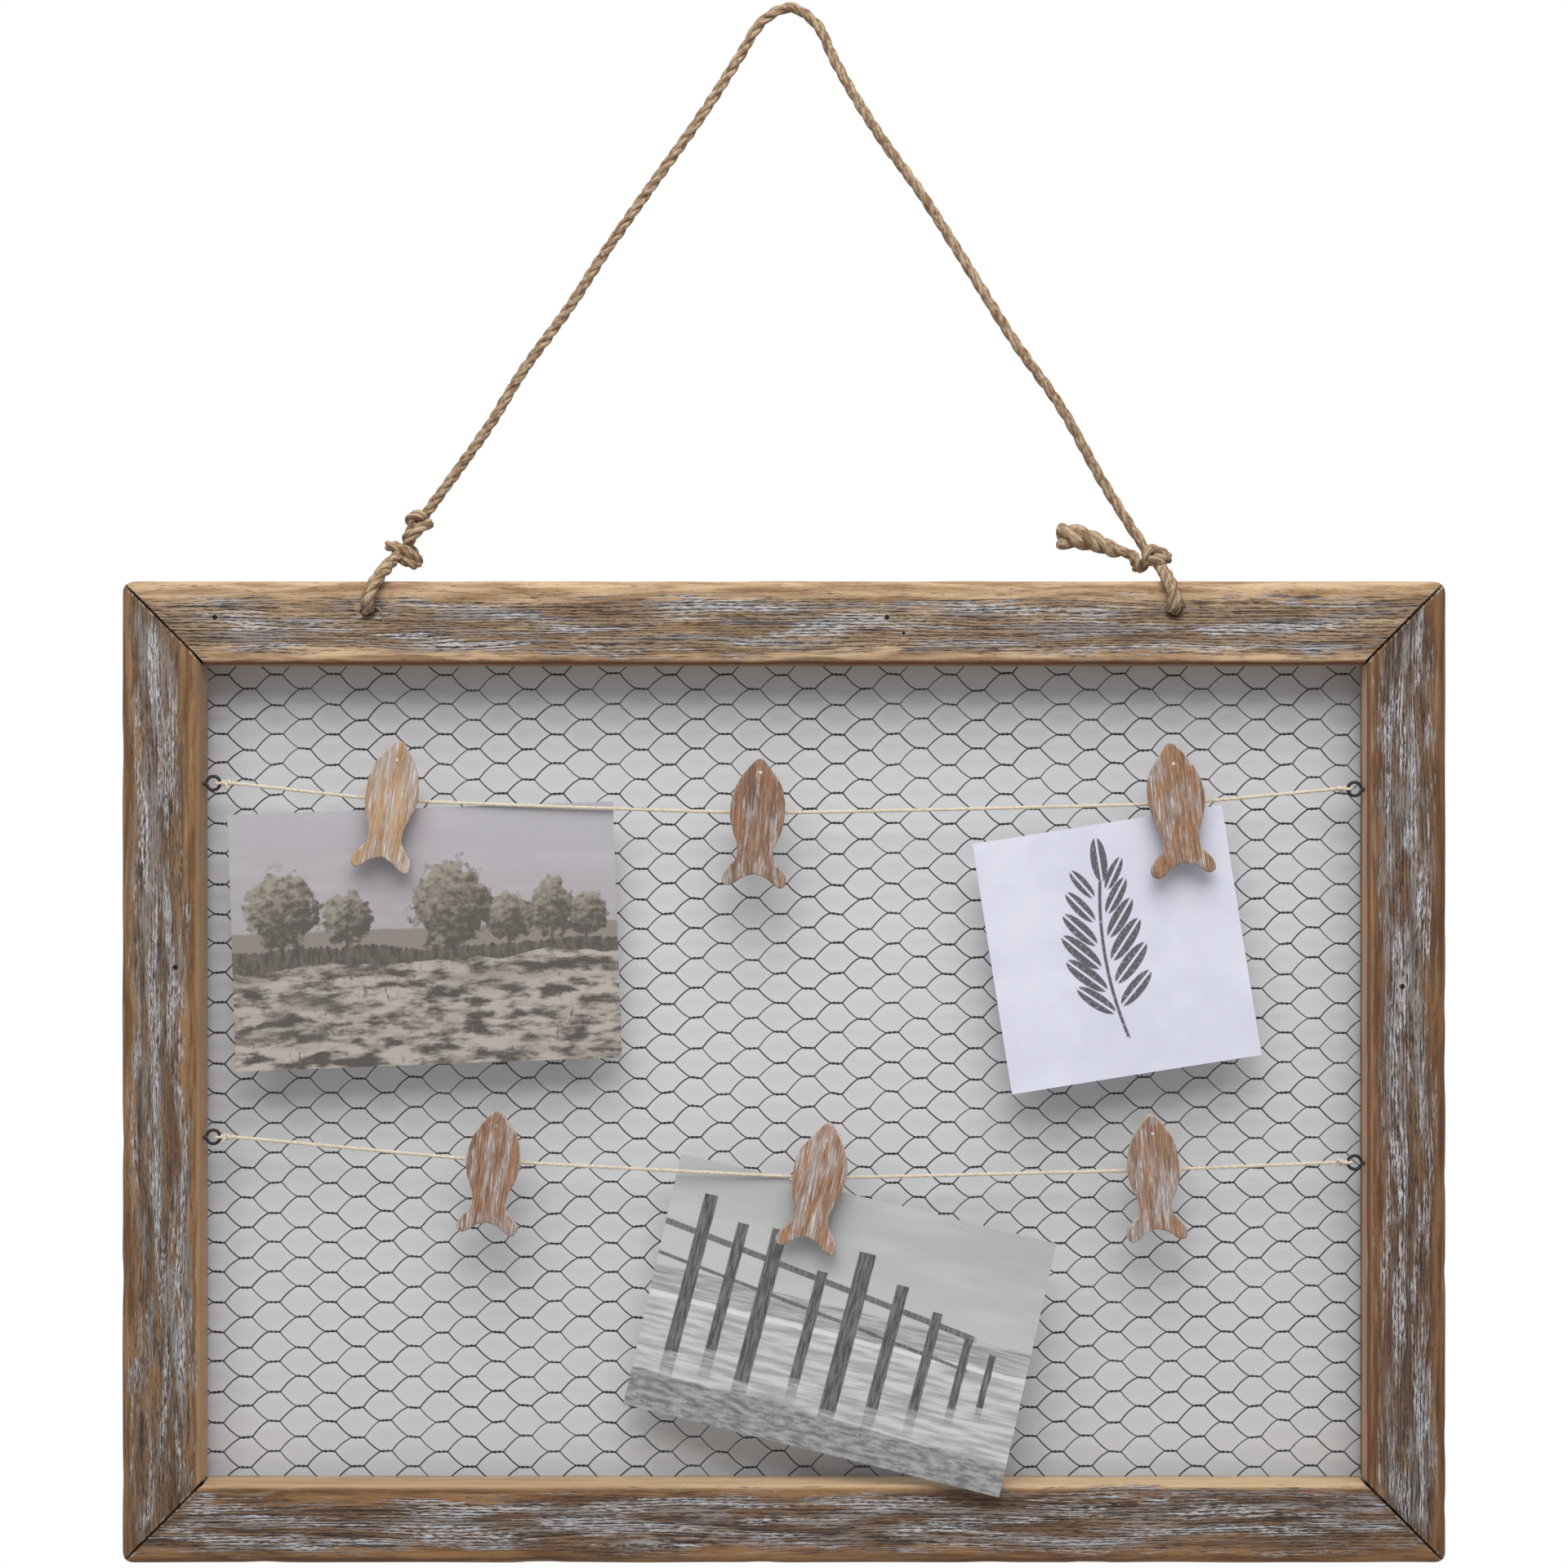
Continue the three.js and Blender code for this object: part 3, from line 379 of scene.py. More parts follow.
def rail(name, half, outer, turn, seed, lip, inner_round, bare, finish):
    """A section carried from mitre to mitre and turned by quarter turns about the depth:
    each of its lines ends where it meets the corner's diagonal, and a lip that is wider
    than the rail ends at the next rail's face. The mitre opens towards the front. Slow
    waves, dents and rounded ends are taken off along the section's normal."""
    inner = outer - RAIL_WIDE - lip
    section = rail_section(inner, outer, inner_round)
    side = np.roll(section, -1, 0) - section
    length = np.linalg.norm(side, axis=1)
    arc = np.cumsum(length) - length
    tangent = side + np.roll(side, 1, 0)
    normal = np.stack([tangent[:, 1], -tangent[:, 0]], 1)
    normal /= np.linalg.norm(normal, axis=1)[:, None]
    off = np.concatenate([[0, 0.3, 0.7, 1.3, 2.2], np.arange(3.5, half / MM, 1.5)]) * MM
    share = 1 - off / half
    share = np.concatenate([-share, [0], share[::-1]])
    from_end = (1 - np.abs(share))[:, None] * half
    open_front = np.clip((RAIL_FRONT + 6 * MM - section[:, 0]) / (6 * MM), 0, 1)
    apart = MITRE_SHUT + MITRE_OPEN * open_front * (0.75 + 0.5 * uneven(section[:, 1], 0, seed, 40 * MM, 1))
    to_corner = half - np.minimum(outer - section[:, 1], RAIL_WIDE)
    along = share[:, None] * (to_corner - np.maximum(apart, MITRE_SHUT))
    rounded = END_ROUND - np.sqrt(END_ROUND ** 2 - np.clip(END_ROUND - from_end, 0, None) ** 2)
    taken = rounded + 0.1 * MM * (1 + uneven(along, arc, seed, 60 * MM, 20 * MM))
    rng = np.random.default_rng(seed)
    front = arc[np.argmin(np.hypot(section[:, 0] - RAIL_FRONT, section[:, 1] - inner))]
    for _ in range(12):
        at, deep = rng.uniform(-half, half), rng.uniform(0.2, 0.7) * MM
        edge = front if rng.random() < 0.5 else front - RAIL_WIDE
        taken = taken + deep * np.exp(-((along - at) / rng.uniform(3 * MM, 9 * MM)) ** 2
                                      - ((arc - edge) / (2 * MM)) ** 2)
    deep = section[:, 0] - taken * normal[:, 0]
    out = section[:, 1] - taken * normal[:, 1]
    past = np.stack([np.abs(along) - (half - CORNER_ROUND), out - (outer - CORNER_ROUND)])
    reach = np.linalg.norm(np.clip(past, 1e-9, None), axis=0)
    pull = np.where((past > 0).all(0), np.minimum(1, CORNER_ROUND / reach), 1)
    along = np.where(pull < 1, np.sign(along) * (half - CORNER_ROUND + past[0] * pull), along)
    out = np.where(pull < 1, outer - CORNER_ROUND + past[1] * pull, out)
    shape = np.stack([along, deep, out], -1).reshape(-1, 3), capped(*along.shape)
    made = built(name, shape, "frame", finish, "weathered_wood", 50)
    if name.startswith("top"):
        drill_rope_holes(made)
    points = np.empty(3 * len(made.data.vertices), np.float32)
    made.data.vertices.foreach_get("co", points)
    points = points.reshape(-1, 3).astype(float)
    offset = points[:, None, 1:] - section
    reach = np.clip((offset * side).sum(-1) / (length ** 2), 0, 1)
    gap = np.linalg.norm(offset - reach[..., None] * side, axis=-1)
    nearest = gap.argmin(1)
    where = arc[nearest] + reach[np.arange(len(points)), nearest] * length[nearest]
    wander = uneven(points[:, 0], 0, seed + 20, 130 * MM, 1), uneven(points[:, 0], 0, seed + 30, 110 * MM, 1)
    brushed_from = front - RAIL_WIDE + bare[2] * MM + 1.3 * MM * wander[0]
    share = np.clip(0.5 + points[:, 0] / half, 0, 1)
    brushed_to = front - (bare[0] + (bare[1] - bare[0]) * share) * MM - 1.3 * MM * wander[1]
    brushed = np.minimum(where - brushed_from, brushed_to - where)
    grain = np.stack([points[:, 0], where, np.full(len(points), seed * 0.05)], 1)
    from_end = half - (outer - points[:, 2]) - np.abs(points[:, 0])
    place = np.stack([brushed, where - front - 0.8 * MM, from_end], 1)
    attribute_on(made.data, "grain", grain)
    attribute_on(made.data, "place", place)
    points = turned(points, 1, turn * math.pi / 2) + CENTRE
    made.data.vertices.foreach_set("co", points.astype(np.float32).ravel())
    made.data.update()
    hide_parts(name[:-5])


def drill_rope_holes(made):
    """Cuts a round hole from front to back at each of the rope's places."""
    angle = 2 * math.pi * np.arange(24) / 24
    circle = np.stack([np.cos(angle), 0 * angle, -np.sin(angle)], 1) * ROPE_HOLE_RADIUS
    for place in ROPE_HOLES:
        ends = np.array([[0, 2 * RAIL_FRONT, 0], [0, 3 * RAIL_BACK, 0]]) + place
        drill = bpy.data.meshes.new("drill")
        drill.from_pydata((circle + ends[:, None]).reshape(-1, 3).tolist(), [],
                          [face for group in capped(2, 24) for face in group.tolist()])
        cutter = bpy.data.objects.new("drill", drill)
        bpy.context.scene.collection.objects.link(cutter)
        cut = made.modifiers.new("hole", "BOOLEAN")
        cut.operation, cut.solver, cut.object = "DIFFERENCE", "EXACT", cutter
        bpy.context.view_layer.update()
        drilled = bpy.data.meshes.new_from_object(made.evaluated_get(bpy.context.evaluated_depsgraph_get()))
        made.modifiers.clear()
        made.data = drilled
        bpy.data.objects.remove(cutter)


# torn is pale chipped wood; the dark tone is a painted shadow round the rope holes.
torn, painted_hole_shadow = (198, 164, 126), (60, 42, 30)
rail("top_rail_wood", FRAME_WIDE / 2, FRAME_HIGH / 2, turn=0, seed=1, lip=TOP_LIP, inner_round=2.4 * MM,
     bare=(4, 4, 5), finish=rail_finish(
         "weathered_top", tans=((200, 170, 136), (152, 119, 86)), greys=((149, 144, 144), (72, 62, 58)),
         # The inner face's dark tones are painted shade under the top rail.
         inside=((108, 70, 40), (101, 65, 36)), arris_shade=0.3, grooved=0.9, silver=0.1, lime=0.085, stain=0.1,
         ends=0.03, marks=[(37.4, -240.4, 0.9), (43.9, -246.6, 0.6), (-223.5, -240.4, 1)],
         chips_and_hole_shadows=[(-164, -238.2, 3.6, painted_hole_shadow), (-168, -236.4, 1.5, torn), (-167.2, -239.6, 1, torn),
                (148.9, -238.2, 3.6, painted_hole_shadow), (152.2, -235, 1, torn)]))
rail("bottom_rail_wood", FRAME_WIDE / 2, FRAME_HIGH / 2, turn=2, seed=2, lip=0, inner_round=1.2 * MM,
     bare=(1, 5.5, 5), finish=rail_finish(
         "weathered_bottom", tans=((147, 109, 73), (97, 66, 42)), greys=((158, 148, 144), (66, 56, 51)),
         # The inner face's pale tones are painted light on the bottom rail's upward face.
         inside=((201, 172, 134), (180, 148, 114)), arris_shade=0, grooved=0.8, silver=0.1, lime=0.1, stain=0.11,
         ends=0.006, marks=[(246, -566.9, 1)]))
rail("left_rail_wood", FRAME_HIGH / 2, FRAME_WIDE / 2, turn=-1, seed=3, lip=0, inner_round=2.4 * MM,
     bare=(3, 7.5, 4.5), finish=rail_finish(
         "weathered_left", tans=((142, 109, 74), (96, 68, 42)), greys=((152, 145, 140), (66, 55, 49)),
         inside=((170, 134, 98), (140, 109, 80)), arris_shade=0, grooved=0.45, silver=0.095, lime=0.1, stain=0.09,
         ends=0.01, marks=[(-238.9, -376.3, 0.9)]))
rail("right_rail_wood", FRAME_HIGH / 2, FRAME_WIDE / 2, turn=1, seed=4, lip=0, inner_round=1.2 * MM,
     bare=(5, 6, 6.5), finish=rail_finish(
         "weathered_right", tans=((125, 91, 60), (83, 56, 36)), greys=((156, 149, 146), (64, 54, 49)),
         inside=((186, 149, 112), (178, 139, 102)), arris_shade=0.85, grooved=0.7, silver=0.1, lime=0.105,
         stain=0.08, ends=0.008, marks=[(237.5, -383.7, 0.9)]))

# V-nails and staples
# Bright steel: one V-nail pressed across each mitre from the back, and ten staples that
# hold the net's edge in the rabbet.
steel = Finish("fastener_steel", Metallic=1)
dull, rust = (steel.node("TexNoise", {}, {"Vector": steel.place(), "Scale": scale, "Detail": detail})
              for scale, detail in ((900, 3), (260, 4)))
rust = rust.fade(0.6, 0.72)
bright = steel.worn(dull, 0.05 * MM, Roughness=0.3 + dull * 0.25 + rust * 0.3,
                    Base_Color=(rust * 0.7).between((176, 177, 180), (128, 88, 60)))


def carry_over(prefixes, finish):
    """Gives the solids whose names start so the finish, in their own material slots."""
    for node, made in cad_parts.items():
        if node.startswith(prefixes):
            made.data.materials.clear()
            made.data.materials.append(finish)


carry_over(("v_nail", "net_staple"), bright)

# Wire net
# Hexagonal netting of black wire, 0.55 mm thick: each two wires are twisted one and a
# half turns, part, and meet the next ones half a row on. A doubled wire edges the net.
NET_HALF_WIDE, NET_HALF_HIGH = 231.8 * MM, 165.3 * MM
COLUMN, HALF_ROW, TWIST_LONG = 11.03 * MM, 5.88 * MM, 5.3 * MM
NET_SHIFT, NET_ASKEW = (-1.6 * MM, 2.3 * MM), 0.005
WIRE, WIRE_APART, STEEP = 0.29 * MM, 0.28 * MM, 0.38
COLUMNS_OUT, HALF_ROWS_OUT = 23, 50
EDGE_STEP, EDGE_PITCH, EDGE_APART, EDGE_IN = 2.1 * MM, 9 * MM, 0.32 * MM, 0.7 * MM


def directions(line):
    """A line's own direction at each point and two directions across it. They start from
    one fixed direction and are turned back by the twist that it adds from point to point."""
    along = np.gradient(line, axis=0)
    along /= np.linalg.norm(along, axis=1)[:, None]
    side = np.cross((0.31, 0.27, 0.91), along)
    side /= np.linalg.norm(side, axis=1)[:, None]
    up = np.cross(along, side)
    turn = np.arctan2((side[1:] * up[:-1]).sum(1), (side[1:] * side[:-1]).sum(1))
    turn = -np.concatenate([[0], np.cumsum(turn)])[:, None]
    return along, np.cos(turn) * side + np.sin(turn) * up, np.cos(turn) * up - np.sin(turn) * side


def travelled(line):
    """The way along a line from its start to each of its points."""
    return np.concatenate([[0], np.cumsum(np.linalg.norm(np.diff(line, axis=0), axis=1))])


def tubes(lines, radii, sides):
    """A round section carried along each line, its ends closed. Returns the points, the
    faces and each point's grain: the way along and the two across."""
    points, faces, grain, first = [], [], [], 0
    angle = 2 * math.pi * np.arange(sides) / sides
    for number, (line, radius) in enumerate(zip(lines, radii)):
        _, side, up = directions(line)
        radius = np.broadcast_to(radius, len(line))[:, None]
        across, rise = radius * np.cos(angle), radius * np.sin(angle)
        points.append((line[:, None] + across[..., None] * side[:, None]
                       + rise[..., None] * up[:, None]).reshape(-1, 3))
        gone = np.broadcast_to(travelled(line)[:, None] + number * 0.37, across.shape)
        grain.append(np.stack([gone, across, rise], -1).reshape(-1, 3))
        around, *ends = capped(len(line), sides)
        faces.append((around + first, np.concatenate(ends) + first))
        first += len(line) * sides
    return np.concatenate(points), [np.concatenate(group) for group in zip(*faces)], np.concatenate(grain)


def net_wire(start, way):
    """One wire's middle line: at each column it winds one and a half turns round the
    node's level, then bends away steeply and comes to the next node, half a row up or
    down, ever flatter."""
    column = np.arange(-COLUMNS_OUT, COLUMNS_OUT + 1)[:, None]
    level = (start + way * column) * HALF_ROW
    turn = np.linspace(0, 1, 10)
    angle = math.pi * (-0.5 * way + 3 * turn)
    across = column * COLUMN + (turn - 0.5) * TWIST_LONG
    rise = level + WIRE_APART * np.sin(angle)
    deep = np.broadcast_to(WIRE_APART * np.cos(angle), rise.shape)
    line = np.stack([across, deep, rise], -1)
    gone = np.array([0.2, 0.4, 0.6, 0.8])[:, None]
    gone = np.concatenate([gone, gone, gone + STEEP * gone * (1 - gone)], 1)
    between = line[:-1, None, -1] + gone * (line[1:, None, 0] - line[:-1, None, -1])
    line = np.concatenate([line[:-1], between], 1).reshape(-1, 3)
    line += np.array([NET_SHIFT[0], 0, NET_SHIFT[1]])
    line[:, 0] += 0.4 * MM * uneven(line[:, 0], line[:, 2], 8, 50 * MM, 40 * MM) + NET_ASKEW * line[:, 2]
    line[:, 2] += 0.5 * MM * uneven(line[:, 0], line[:, 2], 9, 40 * MM, 50 * MM)
    line[:, 1] += 0.12 * MM * uneven(line[:, 0], line[:, 2], 10, 90 * MM, 90 * MM)
    inside = (np.abs(line[:, 0]) < NET_HALF_WIDE) & (np.abs(line[:, 2]) < NET_HALF_HIGH)
    return line[inside.argmax():len(inside) - inside[::-1].argmax()] if inside.any() else line[:0]


def net_edge():
    """The doubled edge wire: two wires wound round the net's four sides."""
    corners = np.array([[-1, -1], [1, -1], [1, 1], [-1, 1]])
    corners = corners * (NET_HALF_WIDE - EDGE_IN, NET_HALF_HIGH - EDGE_IN)
    for first, last in zip(corners, np.roll(corners, -1, 0)):
        long = np.linalg.norm(last - first)
        count = round(long / (1.4 * MM))
        across = np.array([first[1] - last[1], last[0] - first[0]]) / long
        place = first + (last - first) * np.linspace(0, 1, count)[:, None]
        for start in (0, math.pi):
            angle = np.arange(count) * EDGE_STEP * 2 * math.pi / EDGE_PITCH + start
            wound = place + EDGE_APART * np.sin(angle)[:, None] * across
            yield np.stack([wound[:, 0], EDGE_APART * np.cos(angle), wound[:, 1]], 1)


def blackened(name, dark, rubbed):
    """Steel wire in a thin black coat, mottled along the wire and greyer where it is rubbed."""
    finish = Finish(name, Metallic=0.35)
    mottle = finish.attribute("grain").streaks(0.004, 0.0008, 3)
    return finish.worn(mottle, 0.04 * MM, Roughness=0.38 + mottle * 0.3,
                       Base_Color=mottle.fade(0.45, 0.7).between(dark, rubbed))


black = blackened("black_wire", (44, 42, 44), (70, 66, 66))
families = [[net_wire(start, way) for start in range(-HALF_ROWS_OUT, HALF_ROWS_OUT + 1, 2)]
            for way in (-1, 1)]
for name, wires in zip(("net_wires_down", "net_wires_up", "net_edge_wire"), families + [net_edge()]):
    wires = [line + CENTRE for line in wires if len(line) > 3]
    made = built(name, tubes(wires, [WIRE] * len(wires), 4), "frame", black, "black_wire", 80)
    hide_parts("wire_net")

# Screw eyes
# Black steel wire, 1.3 mm thick, bent into a ring of 5.3 mm and screwed into the side
# rails' inner faces.
EYE_RADIUS, EYE_WIRE, EYE_SHANK = 2.65 * MM, 0.65 * MM, 9 * MM
EYES = {name: np.array([x, -16.4, z]) * MM for name, x, z in (
    ("upper_left", -225.2, -304.7), ("upper_right", 220, -307),
    ("lower_left", -225.2, -442.7), ("lower_right", 220, -452.7))}


def smooth_line(points, step):
    """The line through points that the solids' tubes follow: centripetal Catmull-Rom
    cubics, then points at even steps along it."""
    points = np.concatenate([[2 * points[0] - points[1]], points, [2 * points[-1] - points[-2]]])
    a, b, c, d = points[:-3], points[1:-2], points[2:-1], points[3:]
    ab, bc, cd = (np.sqrt(np.linalg.norm(q - p, axis=1))[:, None] for p, q in ((a, b), (b, c), (c, d)))
    leave = ((b - a) / ab - (c - a) / (ab + bc) + (c - b) / bc) * bc
    arrive = ((c - b) / bc - (d - b) / (bc + cd) + (d - c) / cd) * bc
    t = np.linspace(0, 1, 40, endpoint=False)[None, :, None]
    b, c, leave, arrive = (each[:, None] for each in (b, c, leave, arrive))
    line = (b * (2 * t ** 3 - 3 * t ** 2 + 1) + leave * (t ** 3 - 2 * t ** 2 + t)
            + c * (3 * t ** 2 - 2 * t ** 3) + arrive * (t ** 3 - t ** 2)).reshape(-1, 3)
    line = np.concatenate([line, points[-2:-1]])
    gone = travelled(line)
    even = np.linspace(0, gone[-1], max(3, round(gone[-1] / step) + 1))
    return np.stack([np.interp(even, gone, line[:, k]) for k in range(3)], 1)


jet = blackened("black_eye", (22, 20, 22), (44, 40, 41))
for name, eye in EYES.items():
    bend = np.radians(np.linspace(20, 354, 30))
    ring = EYE_RADIUS * np.stack([np.cos(bend), 0 * bend, -np.sin(bend)], 1)
    shank = np.array([[EYE_RADIUS + out, 0, 0] for out in (EYE_SHANK, 5 * MM, 1.5 * MM)])
    line = smooth_line(np.concatenate([shank, ring]), 0.4 * MM) * (np.sign(eye[0]), 1, 1)
    made = built("eye_" + name, tubes([line + eye], [EYE_WIRE], 10), "frame", jet, "black_wire")
    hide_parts("screw_eye_" + name)

# Cotton lines
# Undyed three-strand cotton, 1.5 mm thick, tied to a screw eye at each end and drawn
# nearly straight. The pegs' notches bend each line a little.
LINE_RADIUS, PEG_WIDE = 0.75 * MM, 7 * MM
PLY_RADIUS, PLY_LAY, PLY_PITCH, COTTON_HAIR = 0.4 * MM, 0.36 * MM, 3.1 * MM, 0.02 * MM
KNOT_OUT, HITCH_OUT, HITCH_LONG, LOOP_RADIUS = 7.45 * MM, 4.9 * MM, 3.2 * MM, 1.5 * MM
NOTCHES = np.array([
    [-155.261, -16.4, -311.212], [-12.793, -16.4, -316.209], [149.608, -16.4, -312.469],
    [-115.397, -16.4, -452.026], [11.443, -16.4, -458.414], [140.775, -16.4, -455.601]]) * MM
SLIDES = np.array([
    [0.997963, 0, -0.063796], [0.999982, 0, -0.006019], [0.998739, 0, 0.050208],
    [0.997719, 0, -0.067501], [0.999898, 0, -0.014286], [0.999575, 0, 0.029155]])


def strands(line, lay_radius, pitch, start=0.0):
    """The middle lines of a rope's three strands: each winds round the rope's line, to the
    right, a turn for each pitch. The lay's radius and pitch may change along it."""
    _, side, up = directions(line)
    step = np.concatenate([[0], np.linalg.norm(np.diff(line, axis=0), axis=1)])
    turn = np.cumsum(step / pitch) * 2 * math.pi
    for k in range(3):
        angle = (turn + start + 2 * math.pi * k / 3)[:, None]
        yield line + np.reshape(lay_radius, (-1, 1)) * (np.cos(angle) * side + np.sin(angle) * up)


def round_ends(line, radius):
    """The radius along a line, drawn in to a dome over its last radius at both ends."""
    gone = travelled(line)
    near = np.clip(np.minimum(gone, gone[-1] - gone) / radius, 0.06, 1)
    return radius * np.sqrt(1 - (1 - near) ** 2)


def fuzz(line, radius, per_metre, reach, seed):
    """Loose fibres: short bent hairs that leave a cord's line at its surface, slanted
    along it, at even chances all round."""
    rng = np.random.default_rng(seed)
    along, side, up = directions(line)
    count = int(len(line) * np.linalg.norm(line[1] - line[0]) * per_metre)
    at = rng.integers(1, len(line) - 1, count)
    angle, slant = rng.uniform(0, 2 * math.pi, count), rng.normal(0, 0.9, count)
    long = rng.uniform(0.4, 1, count) * reach
    out = np.cos(angle)[:, None] * side[at] + np.sin(angle)[:, None] * up[at]
    bend = np.clip(rng.normal(0, 0.4, (count, 3)), -0.5, 0.5)
    share = np.linspace(0, 1, 4)[None, :, None]
    way = (out + slant[:, None] * along[at])[:, None]
    hairs = (line[at] + out * radius * 0.8)[:, None]
    return list(hairs + long[:, None, None] * (way * share + bend[:, None] * share ** 2))


def fluffy(runs, widths, sides, hairs, hair):
    """Tubes along a cord's strands, and thin ones of the hairs' own radius along those."""
    points, faces, grain = tubes(runs, widths, sides)
    hair_points, hair_faces, hair_grain = tubes(hairs, [hair] * len(hairs), 3)
    return (np.concatenate([points, hair_points]), faces + [group + len(points) for group in hair_faces],
            np.concatenate([grain, hair_grain]))


cotton = Finish("cotton", Roughness=1, Specular_IOR_Level=0.15, Sheen_Weight=0.2)
grain = cotton.attribute("grain")
ply = grain.streaks(0.0022, 0.00035, 2)
soil = grain.streaks(0.02, 0.003, 2, 4)
fresh = ply.fade(0.3, 0.6).between((192, 176, 154), (228, 217, 200))
twine = cotton.worn(ply, 0.12 * MM, Base_Color=fresh.over(soil.fade(0.4, 0.75) * 0.6, (198, 178, 152)))

TAILS = {("upper", 1): (0.5, -1), ("upper", -1): (-1, 0.15),
         ("lower", 1): (-0.6, -1), ("lower", -1): (-0.9, 0.6)}
for name, pegs in (("upper", (0, 1, 2)), ("lower", (3, 4, 5))):
    left, right = EYES[name + "_left"], EYES[name + "_right"]
    knots = [left + (KNOT_OUT, 0, 0), right - (KNOT_OUT, 0, 0)]
    route = [knots[0]]
    for k in pegs:
        route += [NOTCHES[k] - PEG_WIDE * SLIDES[k], NOTCHES[k] + PEG_WIDE * SLIDES[k]]
    route = smooth_line(np.array(route + [knots[1]]), 0.45 * MM)
    shape = fluffy(list(strands(route, PLY_LAY, PLY_PITCH)), [PLY_RADIUS] * 3, 6,
                   fuzz(route, LINE_RADIUS, 1500, 0.6 * MM, pegs[0]), COTTON_HAIR)
    made = built(name + "_line_cord", shape, "frame", twine, "cotton")
    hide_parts(name + "_line")
    for end, eye, way in (("left", left, 1), ("right", right, -1)):
        bend = np.radians(np.linspace(0, 360, 41))
        loop = np.stack([way * (EYE_RADIUS - LOOP_RADIUS * np.cos(bend)), LOOP_RADIUS * np.sin(bend),
                         0 * bend], 1)
        lead = np.stack([way * np.linspace(3.6, 7.9, 12), 0 * bend[:12], 0 * bend[:12]], 1) * MM
        wind = np.linspace(0, 1, 70)
        angle = 2 * math.pi * (2.6 * wind + 0.1 * pegs[0])
        swell = 0.78 * MM + 0.14 * MM * np.sin(math.pi * wind) + 0.1 * MM * np.sin(9 * wind + pegs[0] + way)
        hitch = np.stack([way * (HITCH_OUT + HITCH_LONG * (wind - 0.5)), swell * np.cos(angle),
                          swell * np.sin(angle)], 1)
        across, up = TAILS[name, way]
        tail = np.array([[0, -0.5, 0], [0.5 * across, -1.3, 0.5 * up], [1.6 * across, -1.5, 1.5 * up],
                         [2.6 * across, -1.4, 2.5 * up]]) * MM
        tail = smooth_line(tail + (way * HITCH_OUT, 0, 0), 0.3 * MM)
        runs = [each + eye for line, lay in ((loop, 0.3), (lead, 0.36), (hitch, 0.27), (tail, 0.3))
                for each in strands(line, lay * MM, PLY_PITCH)]
        widths = [0.34 * MM] * 3 + [PLY_RADIUS] * 3 + [round_ends(r, 0.33 * MM) for r in runs[6:]]
        hairs = fuzz(hitch + eye, 0.5 * MM, 2500, 0.9 * MM, 3) + fuzz(tail + eye, 0.5 * MM, 9000, 0.8 * MM, 5)
        shape = fluffy(runs, widths, 6, hairs, COTTON_HAIR)
        tie = built(f"{name}_line_tie_{end}", shape, "frame", twine, "cotton")
        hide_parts(name + "_line")
    length = float(travelled(route)[-1])
    tuple(route[0])
    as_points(route[::8].tolist() + [route[-1].tolist()])

# Pegs
# Six small pegs of pale birch, 7 mm wide: two legs each, pressed together by a spring of
# steel wire with three turns, whose arms lie in a groove across each leg.
LEANS = np.radians([8.6, 3.4, -6.4, 5.5, 7, -3.3])
TWISTS = np.radians([2, 0, 0, 0, -4.4, 0])
PITCHES = np.radians([0, 0, 0, 0, 2.805, 0])
JAW_HALF_GAP, LEG_THICK, PIVOT_ABOVE, HANDLE_LONG = 0.5 * MM, 4 * MM, 4.5 * MM, 15 * MM
SPRING_WIRE, COIL_RADIUS, COIL_TURNS, ARM_REACH = 0.4 * MM, 1.45 * MM, 3, 2.6 * MM
GROOVE_FLOOR = JAW_HALF_GAP + LEG_THICK - 2 * SPRING_WIRE

birch = Finish("peg_birch", Specular_IOR_Level=0.3)
spot = birch.place()
spot = birch.vector(spot.part(2), spot.part(0), spot.part(1))
pore = spot.streaks(0.005, 0.0004, 3)
band = spot.streaks(0.03, 0.0025, 2, 5)
pale = band.fade(0.35, 0.65).between((222, 194, 152), (203, 170, 124))
pale = pale.over(pore.fade(0.55, 0.72) * 0.5, (160, 122, 80))
carry_over(("peg_front_leg", "peg_back_leg"), birch.worn(pore, 0.1 * MM, Base_Color=pale,
                                                         Roughness=0.6 + pore * 0.2))


def hung(points, peg, lean):
    """Points of a peg, or of its sheet, brought from its notch's own place to the frame:
    turned by lean in its own plane, then by the peg's twist and pitch."""
    points = turned(turned(points, 1, lean), 2, TWISTS[peg])
    return turned(points, 0, -PITCHES[peg]) + NOTCHES[peg]


def spring_route():
    """The spring's wire: in along the back leg's groove, down its side, three turns round
    the coil from side to side, and out to the front leg's groove."""
    outside = JAW_HALF_GAP + LEG_THICK - SPRING_WIRE
    side = PEG_WIDE / 2 + 0.3 * MM + SPRING_WIRE
    low, corner = PIVOT_ABOVE - COIL_RADIUS, 2 * SPRING_WIRE
    share = np.linspace(0, 1, COIL_TURNS * 12 + 1)
    angle = -2 * math.pi * COIL_TURNS * share
    coil = np.stack([(2 * share - 1) * side, COIL_RADIUS * np.sin(angle),
                     PIVOT_ABOVE - COIL_RADIUS * np.cos(angle)], 1)
    arm = np.array([[ARM_REACH - side, outside, low], [corner - side, outside, low],
                    [-side, outside - corner, low]])
    return np.concatenate([arm, coil, arm[::-1] * (-1, -1, 1)])


